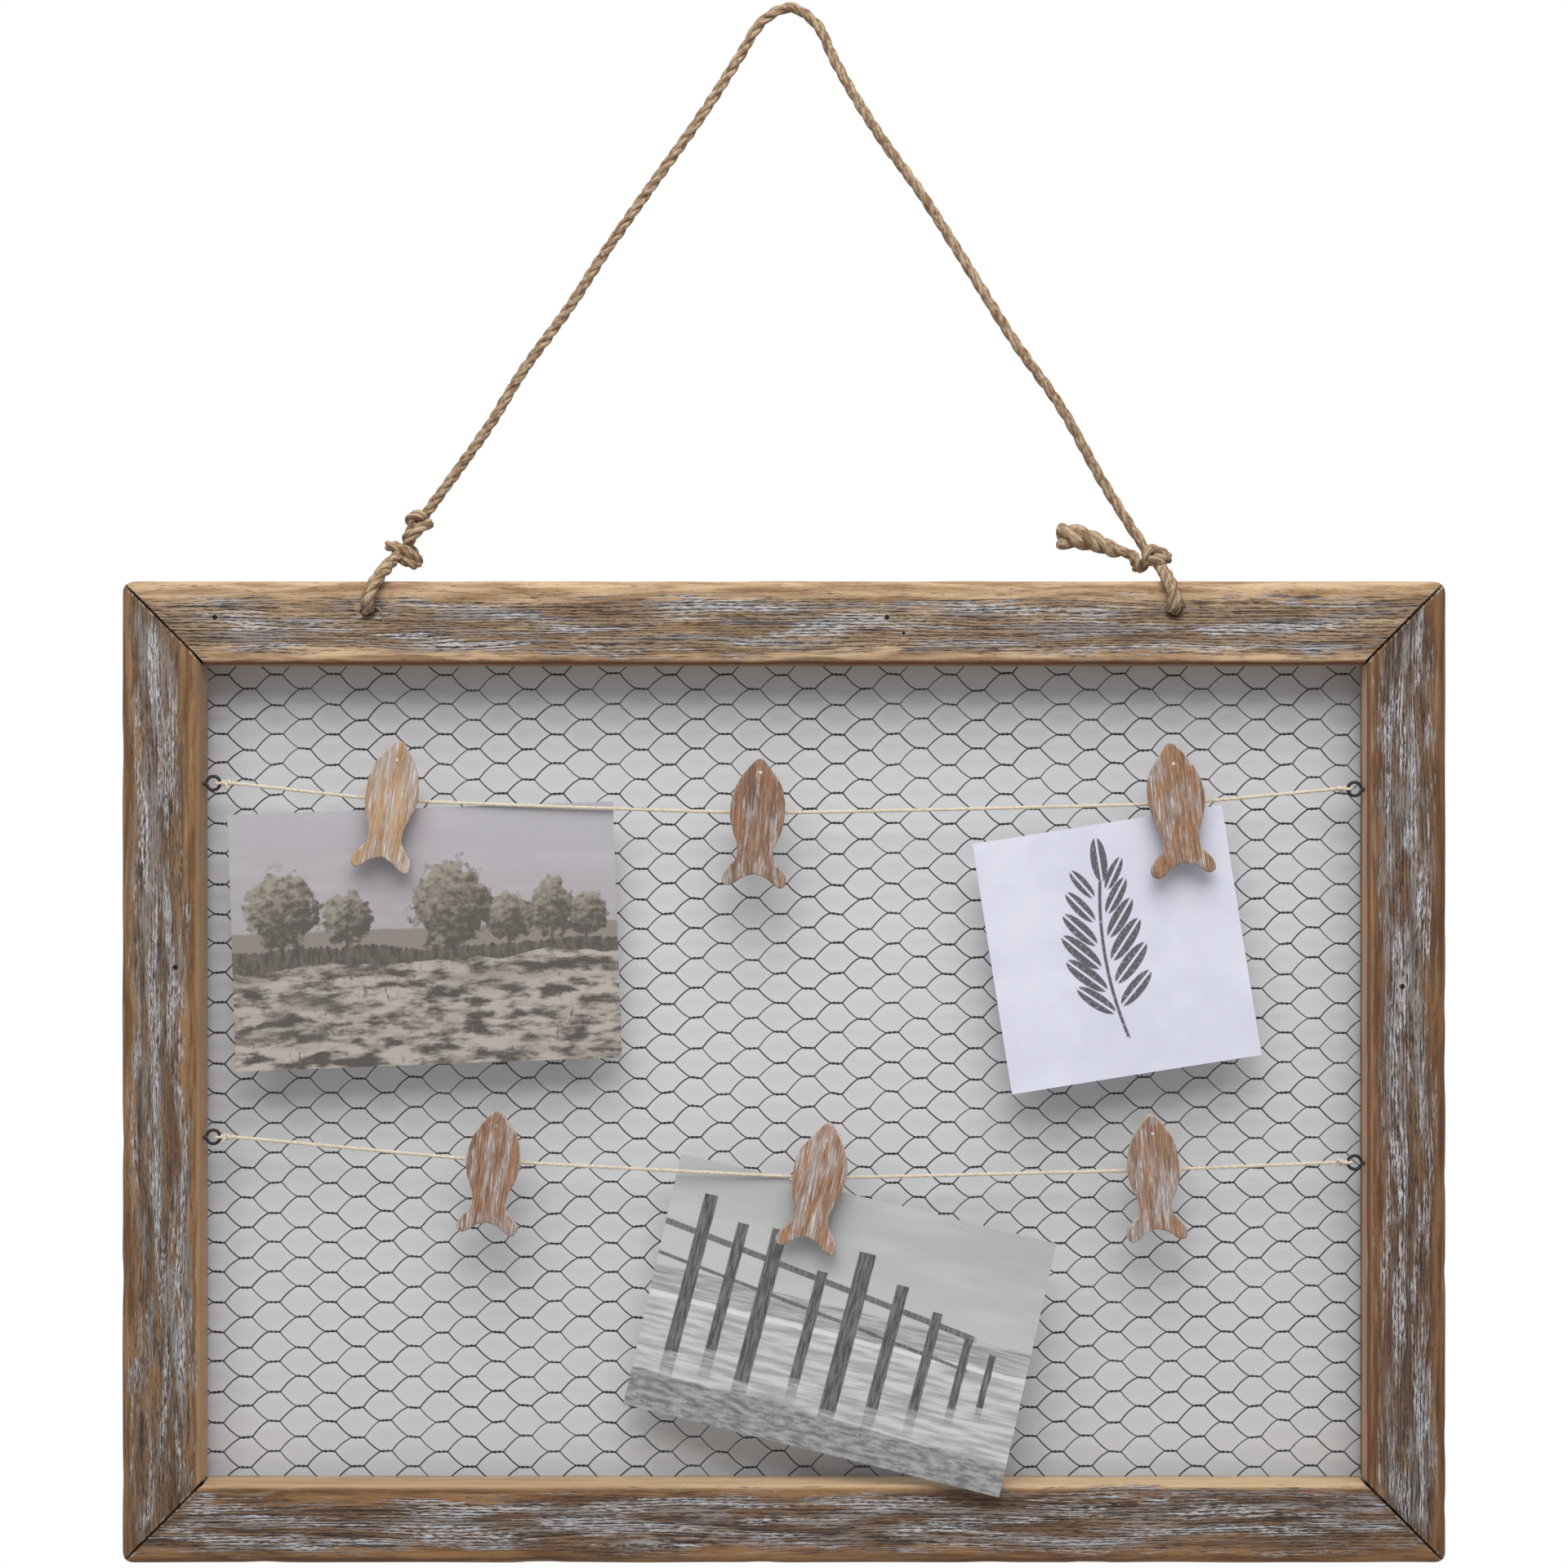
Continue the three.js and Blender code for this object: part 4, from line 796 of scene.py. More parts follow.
spring_steel = Finish("spring_steel", Metallic=1, Base_Color=colour(186, 187, 190))
grain = spring_steel.attribute("grain")
drawn = grain.streaks(0.006, 0.0003, 2)
drawn_wire = spring_steel.worn(drawn, 0.02 * MM, Roughness=0.22 + drawn * 0.2)
for peg in range(6):
    line = hung(smooth_line(spring_route(), 0.25 * MM), peg, LEANS[peg])
    shape = tubes([line], [round_ends(line, SPRING_WIRE)], 8)
    made = built(f"spring_coil_{peg + 1}", shape, None, drawn_wire, "steel")
    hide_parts(f"peg_spring_{peg + 1}")
    middle, groove = hung(np.array([[0, 0, PIVOT_ABOVE], [0, GROOVE_FLOOR, PIVOT_ABOVE]]), peg, LEANS[peg])
    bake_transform(made)

# Fish
# Fish 50 mm long, sawn from 4.5 mm board and sanded round, stained, brushed with white
# along the grain and rubbed. A nail's dent is the eye. Each is glued on its front leg.
FISH_LONG, FISH_WIDE, FISH_THICK, GLUE = 50 * MM, 21.7 * MM, 4.5 * MM, 0.3 * MM
SANDED, SANDED_BACK, DOMED, NOSE = 0.6 * MM, 0.7 * MM, 0.15 * MM, HANDLE_LONG + 7 * MM
FISH_SHARES = np.array([
    [0, 0], [0.13, 0.012], [0.27, 0.045], [0.54, 0.118], [0.82, 0.212], [0.96, 0.309], [1, 0.4],
    [0.96, 0.5], [0.83, 0.597], [0.7, 0.665], [0.64, 0.73], [0.68, 0.79], [0.9, 0.85],
    [1.08, 0.895], [1.15, 0.94], [1.12, 0.978], [0.97, 1], [0.76, 0.988], [0.44, 0.935], [0, 0.9]])


def fish_finish(number, stain, deep, white, eye, eye_down):
    """Stained wood with fine dark grain under a thin coat of white that was brushed along
    the grain and rubbed: a soft veil in places, fine white lines in it, chipped pale
    edges, and the eye as a small pale dent."""
    finish = Finish(f"fish_{number}_paint", Specular_IOR_Level=0.3)
    grain = finish.attribute("grain")
    sway = grain.streaks(0.03, 0.008, 1, 2) - 0.5
    combed = finish.vector(grain.part(0), grain.part(1) + sway * 0.0014, grain.part(2))
    broad = combed.streaks(0.02, 0.005, 4, 7 * number)
    veil = combed.streaks(0.02, 0.0032, 4, 11 * number)
    line = combed.streaks(0.016, 0.0006, 3, 3 * number)
    dash = combed.streaks(0.0055, 0.0006, 3, 5 * number)
    pore = combed.streaks(0.004, 0.0003, 3, 5)
    body = (broad * 0.9 + line * 0.35).fade(0.48, 0.78).between(stain, deep)
    warm = combed.streaks(0.014, 0.005, 3, 13 * number)
    body = body.over(warm.fade(0.48, 0.62) * 0.35, (168, 120, 78))
    body = body.over((pore * 0.6 + line * 0.5 + dash * 0.2).fade(0.6, 0.8) * 0.5, (86, 66, 54))
    veiled = (veil + (broad - 0.5) * 0.5).fade(0.6 - white, 0.8 - white)
    lined = (0.94 - line + (dash - 0.5) * 0.8 + (pore - 0.5) * 0.3).fade(0.46, 0.58) * (0.25 + veiled * 0.75)
    body = body.over(veiled * (0.2 + dash * 0.5), (182, 176, 174))
    body = body.over(lined * 0.8, (208, 204, 203))
    edge = grain.part(2).fade(0, 0.5 * MM) * grain.part(2).fade(FISH_THICK, FISH_THICK - 0.4 * MM)
    chipped = edge * (broad * 0.6 + pore * 0.5).fade(0.6 - white, 0.74 - white)
    body = body.over(chipped * 0.6, (206, 197, 188))
    away = finish.vector(grain.part(0), grain.part(1)).distance(eye_down * MM, 0.2 * MM, 0)
    dot = (away + (pore - 0.5) * 0.0008).fade(0.9 * MM, 0.35 * MM) * eye
    body = body.over(dot, (222, 210, 196))
    return finish.worn(line * 0.7 + pore * 0.6 + veiled * 0.2 - dot, 0.2 * MM, Base_Color=body,
                       Roughness=0.78 - veiled * 0.1)


def fish_outline(wide, long):
    """The fish's outline from its nose round its right side and back: smooth curves through
    the shares of its half width and length."""
    half = FISH_SHARES * (wide * FISH_WIDE / 2, -long * FISH_LONG)
    right = smooth_line(np.stack([half[:, 0], 0 * half[:, 0], half[:, 1]], 1), 0.7 * MM)
    left = right[-2:0:-1] * (-1, 1, 1)
    return np.concatenate([right, left])[:, [0, 2]]


def fish_body(wide, long, seed):
    """Rings of the outline: drawn in over the sanded back edge, up the side, in over the
    front edge and on towards the fish's spine, where they close."""
    outline = fish_outline(wide, long)
    step = np.roll(outline, -1, 0) - np.roll(outline, 1, 0)
    out = np.stack([-step[:, 1], step[:, 0]], 1)
    out /= np.linalg.norm(out, axis=1)[:, None]
    arc = np.linspace(0, 1, len(outline), endpoint=False) * 2 * math.pi
    worn = 0.12 * MM * (np.sin(3 * arc + seed) + np.sin(7 * arc + 2 * seed)) - 0.05 * MM
    worn -= 0.35 * MM * np.clip(np.sin(23 * arc + 5 * seed) + np.sin(31 * arc + seed) - 1.2, 0, None)
    outline = outline + worn[:, None] * out
    spine = np.maximum(outline[:, 1] * 0.93 - 0.02 * FISH_LONG, -0.8 * FISH_LONG)
    spine = np.stack([0 * spine, spine], 1)
    back = -(JAW_HALF_GAP + LEG_THICK + GLUE)
    front = back - FISH_THICK
    turn = np.linspace(0, math.pi / 2, 5)
    rings = [(1 - 0.22 * k, 0, back) for k in range(4, 0, -1)]
    rings += [(1, SANDED_BACK * (1 - math.sin(a)), back - SANDED_BACK * (1 - math.cos(a))) for a in turn[::2]]
    rings += [(1, SANDED * (1 - math.cos(a)), front + SANDED * (1 - math.sin(a))) for a in turn]
    rings += [(1 - 0.11 * k, SANDED * (1 - 0.11 * k), front - DOMED * math.sin(k / 9 * math.pi / 2))
              for k in range(1, 10)]
    points, edges = [], []
    for share, inset, deep in rings:
        ring = spine + share * (outline - inset * out / max(share, 0.1) - spine)
        points.append(np.stack([ring[:, 0], np.full(len(ring), deep), ring[:, 1]], 1))
        edges.append(np.full(len(ring), max(deep - front, 0)))
    points = np.array(points)
    grain = np.stack([-points[..., 2], points[..., 0], np.array(edges)], -1)
    return points.reshape(-1, 3), capped(*points.shape[:2]), grain.reshape(-1, 3)


# shares of width and length, way up in mm, lean in degrees, and the finish
fish_looks = [
    ((0.935, 1.02), 1.4, 0, ((186, 153, 114), (156, 123, 92), 0.19, 0.8, 7.8)),
    ((1, 1), -0.8, 0, ((142, 107, 84), (100, 76, 61), 0.14, 1, 5.6)),
    ((1.005, 1.035), 1.5, 0, ((158, 118, 86), (114, 85, 63), 0.14, 1, 8.2)),
    ((0.945, 0.967), -1.2, 0, ((152, 110, 82), (110, 82, 62), 0.18, 0.3, 6)),
    ((0.96, 1), 0, 4, ((162, 120, 88), (124, 91, 68), 0.2, 0.5, 7)),
    ((0.935, 0.985), 0.6, 0, ((156, 119, 93), (117, 91, 75), 0.18, 1, 7.4))]
for peg, (share, up, lean, look) in enumerate(fish_looks):
    points, faces, grain = fish_body(*share, 1.7 * peg)
    points = hung(points + (0, 0, NOSE + up * MM), peg, LEANS[peg] + math.radians(lean))
    made = built(f"fish_board_{peg + 1}", (points, faces, grain), f"clip_{peg + 1}",
                 fish_finish(peg + 1, *look), "fish_wood", 50)
    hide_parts(f"fish_{peg + 1}")

# Sheets
# Two 150 x 100 mm photo prints on semi-gloss paper and one nearly square card, each held
# at its top edge by a peg and curled a little. The pictures are plain views of dunes and
# of a pier, and the card has a leafy sprig.
PRINT_SIZE, CARD_SIZE = (150 * MM, 100 * MM), (98.5 * MM, 98.5 * MM)
PAPER_THICK, BELOW_LINE, JAWS_HALF_WIDE = 0.3 * MM, 3.6 * MM, 5 * MM
SEMI_GLOSS = {"Specular_IOR_Level": 0.5, "Coat_Weight": 0.25, "Coat_Roughness": 0.25}
PRINT_BACK = (205, 205, 205)


def sheet_surface(wide, high, bite, peg, lean, curl):
    """Two grids, front and back, a paper's thickness apart and joined round their edge.
    The sheet bends forwards with the square of the way from its jaws, to curl at the
    corners, with a soft wave across."""
    rows, columns = 41, 61
    across = np.linspace(-wide / 2, wide / 2, columns)
    down = np.linspace(0, high, rows)[:, None]
    from_jaws = np.clip(np.abs(across - bite * wide / 2) - JAWS_HALF_WIDE, 0, None) / wide
    share = down / high
    bow = curl[0] * from_jaws ** 2 * (0.4 + 0.6 * (share - curl[2]) ** 2 * 2) + curl[1] * share ** 2
    points = [np.stack(np.broadcast_arrays(across - bite * wide / 2, side * PAPER_THICK / 2 - bow,
                                           -BELOW_LINE - down), -1).reshape(-1, 3) for side in (-1, 1)]
    leaf = np.stack(np.broadcast_arrays(across + wide / 2, high - down, 0), -1).reshape(-1, 3)
    face = grid_faces(rows, columns, False)
    top = np.arange(columns)
    rim = np.concatenate([top, np.arange(1, rows) * columns + columns - 1,
                          (rows - 1) * columns + top[-2::-1], np.arange(rows - 2, 0, -1) * columns])
    behind = rim + rows * columns
    strip = np.stack([rim, np.roll(rim, -1), np.roll(behind, -1), behind], 1)
    faces = [np.concatenate([face[:, ::-1], face + rows * columns, strip])]
    return hung(np.concatenate(points), peg, lean), faces, np.concatenate([leaf, leaf + (0, 0, 1)])


def sheet_finish(name, wide, high, **uniform):
    """A sheet's finish, the place on the sheet, and the shares of its width and height."""
    finish = Finish(name, **uniform)
    leaf = finish.attribute("grain")
    return finish, leaf, leaf.part(0) / wide, leaf.part(1) / high


def printed(finish, leaf, picture, grainy, light, dark):
    """A print's picture with fine light and dark grain over it, and its plain back."""
    film = leaf.cloudy(0.0005, 0.0005, 3, 47)
    picture = picture.over(film.fade(0.5, 0.9) * grainy, light).over(film.fade(0.5, 0.1) * grainy, dark)
    return finish.worn(leaf.cloudy(0.0007, 0.0007, 2, 0), 0.012 * MM,
                       Base_Color=picture.over(leaf.part(2), PRINT_BACK))


def dunes_print():
    """A sepia view: pale sky, a far shore, clumps of pines with lit tops, trunks and
    shade, and trodden sand with tufts of grass. Fine grain goes over all of it."""
    finish, leaf, u, v = sheet_finish("dunes_print", *PRINT_SIZE, **SEMI_GLOSS)
    picture = (v + u * 0.15).fade(0.55, 1.1).between((160, 154, 156), (170, 166, 172))
    clouds = leaf.cloudy(0.05, 0.012, 4, 3).fade(0.45, 0.75)
    picture = picture.over(clouds * 0.4, (188, 184, 190))
    shore = v - 0.53 - (leaf.cloudy(0.03, 0.5, 4, 5) - 0.5) * 0.05
    picture = picture.over(shore.fade(0.008, 0), (128, 120, 112))
    rough = leaf.cloudy(0.006, 0.006, 5, 9) - 0.5
    leafy = leaf.cloudy(0.0034, 0.0026, 5, 1)
    for x, y, wide, tall in ((0.92, 0.57, 0.06, 0.09), (0.3, 0.58, 0.07, 0.11), (0.72, 0.57, 0.075, 0.1),
                             (0.83, 0.6, 0.06, 0.13), (0.13, 0.62, 0.1, 0.17), (0.57, 0.62, 0.11, 0.19)):
        trunk = abs(u - x - (v - 0.5) * 0.06).fade(wide * 0.07 + 0.002, wide * 0.05)
        trunk = trunk * v.fade(y - tall * 0.3, y - tall * 0.5)
        picture = picture.over(trunk * 0.85, (62, 54, 47))
        away = ((u - x) / wide) ** 2 + ((v - y) / tall) ** 2 + rough * 2.6
        lit = (leafy - 0.5) * 1.5 + (v - y) / tall * 0.3 - (u - x) / wide * 0.16
        crown = lit.fade(-0.22, 0.42).between((66, 60, 52), (146, 138, 124))
        picture = picture.over(away.fade(0.95, 0.7), crown)
    ridge = v - 0.46 - (leaf.cloudy(0.06, 0.5, 3, 15) - 0.5) * 0.12
    brush = leaf.cloudy(0.002, 0.006, 4, 19)
    ridge = (ridge + (brush - 0.5) * 0.05).fade(0.006, 0)
    picture = picture.over(ridge, brush.fade(0.35, 0.65).between((58, 51, 45), (92, 84, 75)))
    sand_edge = v - 0.37 - (leaf.cloudy(0.045, 0.5, 3, 21) - 0.5) * 0.14 - u * 0.06
    trodden = leaf.cloudy(0.014, 0.005, 6, 27)
    sand = trodden.fade(0.4, 0.58).between((60, 53, 47), (172, 162, 152))
    sand = sand.over(leaf.cloudy(0.04, 0.01, 3, 31).fade(0.45, 0.7) * 0.5, (92, 83, 74))
    picture = picture.over(sand_edge.fade(0.006, 0), sand)
    tufts = leaf.cloudy(0.002, 0.008, 4, 33).fade(0.58, 0.68) * sand_edge.fade(0, -0.03)
    tufts = tufts * leaf.cloudy(0.02, 0.012, 2, 35).fade(0.48, 0.6)
    picture = picture.over(tufts * 0.85, (64, 56, 48))
    return printed(finish, leaf, picture, 0.35, (206, 201, 198), (60, 54, 50))


def pier_print():
    """A cool grey view: pale sky, a band of sea, calm water with the dark posts of an old
    pier and their shine below them, and wet sand with pebbles. Fine grain over all."""
    finish, leaf, u, v = sheet_finish("pier_print", *PRINT_SIZE, **SEMI_GLOSS)
    picture = (v + u * 0.2).fade(0.5, 1.15).between((186, 188, 187), (168, 170, 170))
    picture = picture.over(leaf.cloudy(0.06, 0.012, 4, 3).fade(0.42, 0.72) * 0.5, (198, 200, 199))
    sea = leaf.cloudy(0.02, 0.0012, 4, 5).fade(0.36, 0.66).between((132, 135, 134), (180, 182, 181))
    picture = picture.over((v - 0.56).fade(0.004, 0), sea)
    surf = v - 0.45 - (leaf.cloudy(0.02, 0.5, 3, 9) - 0.5) * 0.03
    shallow = leaf.cloudy(0.024, 0.0024, 4, 11).fade(0.36, 0.64).between((152, 155, 153), (198, 200, 198))
    picture = picture.over(surf.fade(0.01, 0), shallow)
    foam = surf.fade(0.016, 0.008) * surf.fade(-0.012, -0.004)
    picture = picture.over(foam * 0.8, (216, 218, 216))
    stripe = leaf.cloudy(0.0009, 0.009, 4, 17)
    grey = stripe.fade(0.36, 0.64).between((38, 39, 38), (104, 104, 100))
    posts, shine = 0, 0
    for x, foot, tall, wide in (
            (0.09, 0.25, 0.62, 0.018), (0.19, 0.29, 0.5, 0.015), (0.285, 0.2, 0.6, 0.02),
            (0.42, 0.26, 0.42, 0.014), (0.52, 0.17, 0.62, 0.022), (0.63, 0.22, 0.48, 0.016),
            (0.735, 0.25, 0.38, 0.013), (0.83, 0.29, 0.27, 0.011), (0.9, 0.32, 0.2, 0.009)):
        from_post = abs(u - x - (v - foot) * 0.02 + (stripe - 0.5) * 0.004)
        inside = from_post.fade(wide + 0.002, wide - 0.002)
        posts = posts | inside * v.fade(foot - 0.012, foot) * v.fade(foot + tall + 0.004, foot + tall)
        shine = shine | inside * v.fade(foot - tall * 0.35, foot) * v.fade(foot + 0.004, foot)
    ripple = leaf.cloudy(0.006, 0.001, 3, 43).fade(0.35, 0.65)
    picture = picture.over(shine * (0.3 + ripple * 0.5), (84, 86, 84))
    for low, thick in ((0.72, 0.024), (0.6, 0.014)):
        beam = v - low + u * 0.2
        beams = beam.fade(0, 0.005) * beam.fade(thick + 0.005, thick) * u.fade(0.86, 0.84)
        picture = picture.over(beams * 0.9, stripe.fade(0.4, 0.6).between((54, 55, 53), (100, 100, 97)))
    picture = picture.over(posts, grey)
    wet = v - 0.15 - (leaf.cloudy(0.04, 0.5, 3, 23) - 0.5) * 0.1 + u * 0.04
    beach = leaf.cloudy(0.006, 0.0018, 5, 29).fade(0.34, 0.66).between((84, 84, 83), (156, 156, 154))
    picture = picture.over(wet.fade(0.012, 0) * 0.9, beach)
    pebbles = leaf.cloudy(0.0018, 0.0012, 2, 37).fade(0.64, 0.72) * wet.fade(0.01, -0.02)
    picture = picture.over(pebbles * 0.8, (52, 51, 48))
    return printed(finish, leaf, picture, 0.3, (222, 223, 222), (70, 71, 70))


def sprig_card():
    """A pale lilac card with a leafy sprig in soft grey ink: a bent stem, and pairs of
    leaves that are ellipses with a pale rib."""
    finish, leaf, u, v = sheet_finish("sprig_card", *CARD_SIZE, Roughness=0.75, Specular_IOR_Level=0.3)
    paper = leaf.cloudy(0.03, 0.03, 3, 3).fade(0.35, 0.7).between((207, 207, 222), (217, 217, 229))
    stem_at = 0.5 + (v - 0.5) ** 2 * 0.35 - 0.05
    stem = abs(u - stem_at).fade(0.009, 0.004) * v.fade(0.14, 0.16) * v.fade(0.79, 0.77)
    ink = stem
    for k in range(6):
        height = 0.26 + 0.095 * k
        size = 1 - 0.09 * abs(k - 1.5)
        middle = 0.45 + (height - 0.5) ** 2 * 0.35
        for way in (-1, 1):
            slant = way * math.radians(48 - 3 * k)
            x, y = middle + way * 0.095 * size, height + 0.075 * size + 0.012 * way
            along = (u - x) * math.sin(slant) + (v - y) * math.cos(slant)
            across = (u - x) * math.cos(slant) - (v - y) * math.sin(slant)
            inside = ((along / (0.105 * size)) ** 2 + (across / (0.036 * size)) ** 2).fade(1.05, 0.85)
            rib = abs(across).fade(0.003, 0.006)
            ink = ink | inside * rib
    tip = ((v - 0.86) / 0.09) ** 2 + ((u - 0.485) / 0.033) ** 2
    ink = ink | tip.fade(1.05, 0.85) * abs(u - 0.485).fade(0.003, 0.006)
    dry = leaf.cloudy(0.0012, 0.0012, 3, 9).fade(0.25, 0.5)
    face = paper.over(ink * (0.55 + dry * 0.4) * (1 - leaf.part(2)), (78, 70, 76))
    return finish.worn(leaf.cloudy(0.0006, 0.0006, 3, 5), 0.02 * MM, Base_Color=face)


for name, node, body, slot, size, bite, peg, turn, curl, finish in (
        ("dunes_photo", "print_left", "left_sheet", "print_paper", PRINT_SIZE, -0.144, 0, -2,
         (7 * MM, 1.2 * MM, 0.5), dunes_print()),
        ("pier_photo", "print_lower", "lower_sheet", "print_paper", PRINT_SIZE, -0.267, 4, 13,
         (6 * MM, 0.6 * MM, 0.6), pier_print()),
        ("sprig_note", "card_right", "right_sheet", "card_paper", CARD_SIZE, 0.63, 2, -8.9,
         (4 * MM, 2 * MM, 0.4), sprig_card())):
    made = built(name, sheet_surface(*size, bite, peg, math.radians(turn), curl), body, finish, slot, 60)
    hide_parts(node)

# Rope
# Jute, three strands laid to the right, 4.2 mm thick and fluffy. It goes through the top
# rail's two holes, is knotted above the rail at each, and hangs over one nail.
ROPE_RADIUS, STRAND_RADIUS, LAY_RADIUS, ROPE_PITCH = 2.1 * MM, 1.17 * MM, 1 * MM, 15 * MM
OPENED_LONG, JUTE_HAIR, WISP_RADIUS = 26 * MM, 0.03 * MM, 0.14 * MM
LEFT_STRAP = [
    [13.4, -4, 24.1], [9.7, -12, 19.3], [5.2, -17.8, 13], [1.7, -19.9, 6.6],
    [0.1, -19, 1.7], [0, -16.6, 0.2], [0, -13, 0], [0, -6, 0], [0, 1, 0], [0, 4.9, 0.5],
    [0.1, 6.9, 3.4], [0.8, 7.2, 10.4], [1.8, 6.6, 14.6], [7.5, 3.6, 20.4], [12.4, 0, 23.4]]
RIGHT_STRAP = [
    [-7.7, -4, 21.4], [-5, -10.4, 17.2], [-2.7, -17, 12.3], [-0.9, -19.9, 6.6],
    [0, -19, 1.7], [0, -16.6, 0.2], [0, -13, 0], [0, -6, 0], [0, 1, 0], [0, 4.9, 0.5],
    [0, 6.9, 3.4], [0.4, 7.2, 10.4], [0, 6.6, 14.4], [-3.6, 3.6, 19.2], [-6.6, 0, 21.5]]
LEFT_TURNS = [
    [[6.2, -6.8, 25.2], [9.6, -8.8, 24.8], [13.6, -9.4, 23.2], [17.4, -7.6, 20.6], [18, -3, 19.6],
     [15, 0.8, 20.6], [11.4, 1.4, 22.4], [9.8, -2.2, 22.6], [11.4, -7, 20.8], [14.6, -8.8, 18.6],
     [17.6, -5.6, 18], [17, -0.6, 21.6], [13.6, 1, 26], [14.2, -2.4, 30], [18, -4.4, 34]],
    [[14, -4, 25.5], [16.5, -6.6, 29], [20, -6.8, 32.4], [24.2, -6, 34.3]],
    [[21, -3, 36.4], [17.6, -5.2, 37.2], [15.2, -4.6, 35.8], [16.4, -2.6, 33], [19, -2, 31.6]]]
RIGHT_TURNS = [
    [[-44, -9, 28.6], [-37, -9.4, 28.4], [-29, -9.6, 26], [-22, -9.6, 23.2], [-17.6, -9.8, 22.2],
     [-14.8, -10.3, 20.6], [-13.9, -9.6, 17.8], [-12.6, -5.6, 16.4], [-10.8, -5.6, 17.2],
     [-10.2, -9.4, 19.2], [-9.8, -10.2, 21.8], [-8, -8.8, 23.6], [-4.8, -7, 22.9],
     [-2, -5.6, 22], [-1.5, -8.4, 20.2], [-3.4, -12.2, 19.2], [-6.4, -12.4, 19.4], [-8.8, -8.6, 18.6]]]
LEFT_NECK = [[13.4, -4, 24.1], [17.4, -3.2, 32.4], [21.6, -2.4, 38.6]]
RIGHT_NECK = [[-7.7, -4, 21.4], [-10.2, -3.4, 25.4], [-13, -3.1, 29.7]]
HANGER = [
    [-118.2, -7.2, -163.7], [-105.4, -6.3, -142.7], [-86.2, -5.1, -115.9], [-73.4, -4.2, -95.8],
    [-54.2, -3, -68.1], [-34.8, -1.8, -40.5], [-20.3, -0.9, -17.7], [-10.7, -0.2, -3], [0, 0, 2.1],
    [10.3, -0.3, -4.6], [16.8, -0.9, -17.7], [24.8, -1.5, -32.3], [36.1, -2.3, -50.3],
    [52.2, -3.2, -73], [71.5, -4.6, -103.9], [87.5, -5.7, -129.8], [106.6, -6.9, -157.3],
    [122.6, -8.2, -186.3]]

jute = Finish("jute_rope", Roughness=0.95, Specular_IOR_Level=0.15, Sheen_Weight=0.1)
grain = jute.attribute("grain")
fibre = grain.streaks(0.0024, 0.0003, 3)
clump = grain.streaks(0.0034, 0.0012, 4, 4)
soiled = grain.streaks(0.003, 0.0015, 3, 9)
skin = clump.fade(0.38, 0.62).between((188, 167, 137), (144, 116, 88))
skin = skin.over(soiled.fade(0.49, 0.62) * 0.8, (114, 80, 58))
skin = skin.over(fibre.fade(0.53, 0.68) * 0.55, (80, 58, 42))
# Pale fibre streaks are lighter fibres and painted highlights.
skin = skin.over(fibre.fade(0.44, 0.32) * 0.45, (216, 200, 172))
jute_strand = jute.worn(fibre * 0.5 + clump * 1.2 + soiled * 0.5, 0.5 * MM, Base_Color=skin)


def rope_piece(name, lines, opened, wisps, seed):
    """A rope made along each line from its three strands, with loose fibres and wisps.
    Where it is opened, the strands of the first line spread and swell towards its start.
    In front of the rail they lie looser, and along a single line their pitch grows."""
    runs, widths = [], []
    for number, line in enumerate(lines):
        gone = travelled(line)
        spread = np.clip(1 - gone / OPENED_LONG, 0, 1) ** 0.7 * (opened if number == 0 else 0)
        pitch = ROPE_PITCH + 8 * MM * spread + (9 * MM * gone / gone[-1] if len(lines) == 1 else 0)
        loose = 1 + 0.28 * np.clip((CENTRE[1] - 10 * MM - line[:, 1]) / (6 * MM), 0, 1)
        lay = LAY_RADIUS * loose * (1 + 2 * spread)
        for strand in strands(line, lay, pitch, number):
            runs.append(strand)
            widths.append(round_ends(strand, STRAND_RADIUS) * loose * (1 + 1.25 * spread)
                          * (1 + 0.08 * uneven(gone, 0, seed + number, 12 * MM, 1)))
    hairs = [hair for number, line in enumerate(lines)
             for hair in fuzz(line, ROPE_RADIUS, 900, 1.5 * MM, seed + number)]
    runs, widths = runs + wisps, widths + [round_ends(wisp, WISP_RADIUS) for wisp in wisps]
    return built(name, fluffy(runs, widths, 10, hairs, JUTE_HAIR), "frame", jute_strand, "jute", 80)


ends = [np.array(neck) * MM + hole + CENTRE for neck, hole in zip((LEFT_NECK, RIGHT_NECK), ROPE_HOLES)]
hanger = smooth_line(np.concatenate([ends[0], np.array(HANGER) * MM, ends[1][::-1]]), 0.7 * MM)
rope = rope_piece("jute_hanger", [hanger], 0, [], 30)
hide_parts("hanger_rope")
knots = []
for name, hole, strap, turns, opened, wisp in (
        ("left", ROPE_HOLES[0], LEFT_STRAP, LEFT_TURNS, 0,
         [[2.4, -16.3, 0.6], [4.6, -17, 0], [5.8, -17, -2], [6.4, -16.4, -5]]),
        ("right", ROPE_HOLES[1], RIGHT_STRAP, RIGHT_TURNS, 1,
         [[0.6, -17, 3.4], [2.2, -18, 4.4], [3.2, -17.6, 3.4], [4.6, -16.6, 1]])):
    lines = [smooth_line(np.array(points) * MM + hole + CENTRE, 0.6 * MM) for points in turns + [strap]]
    wisp = smooth_line(np.array(wisp) * MM + hole + CENTRE, 0.4 * MM)
    share = np.linspace(0, 1, len(wisp))[:, None]
    wisps = [wisp + (0.2 + share) * 0.3 * MM * np.array([math.cos(k), -0.2, math.sin(k)]) * (k % 3)
             for k in range(9)]
    made = rope_piece(f"jute_knot_{name}", lines, opened, wisps, 40 + len(knots))
    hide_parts(name + "_knot")
    knots.append(made)
length = float(travelled(hanger)[-1])

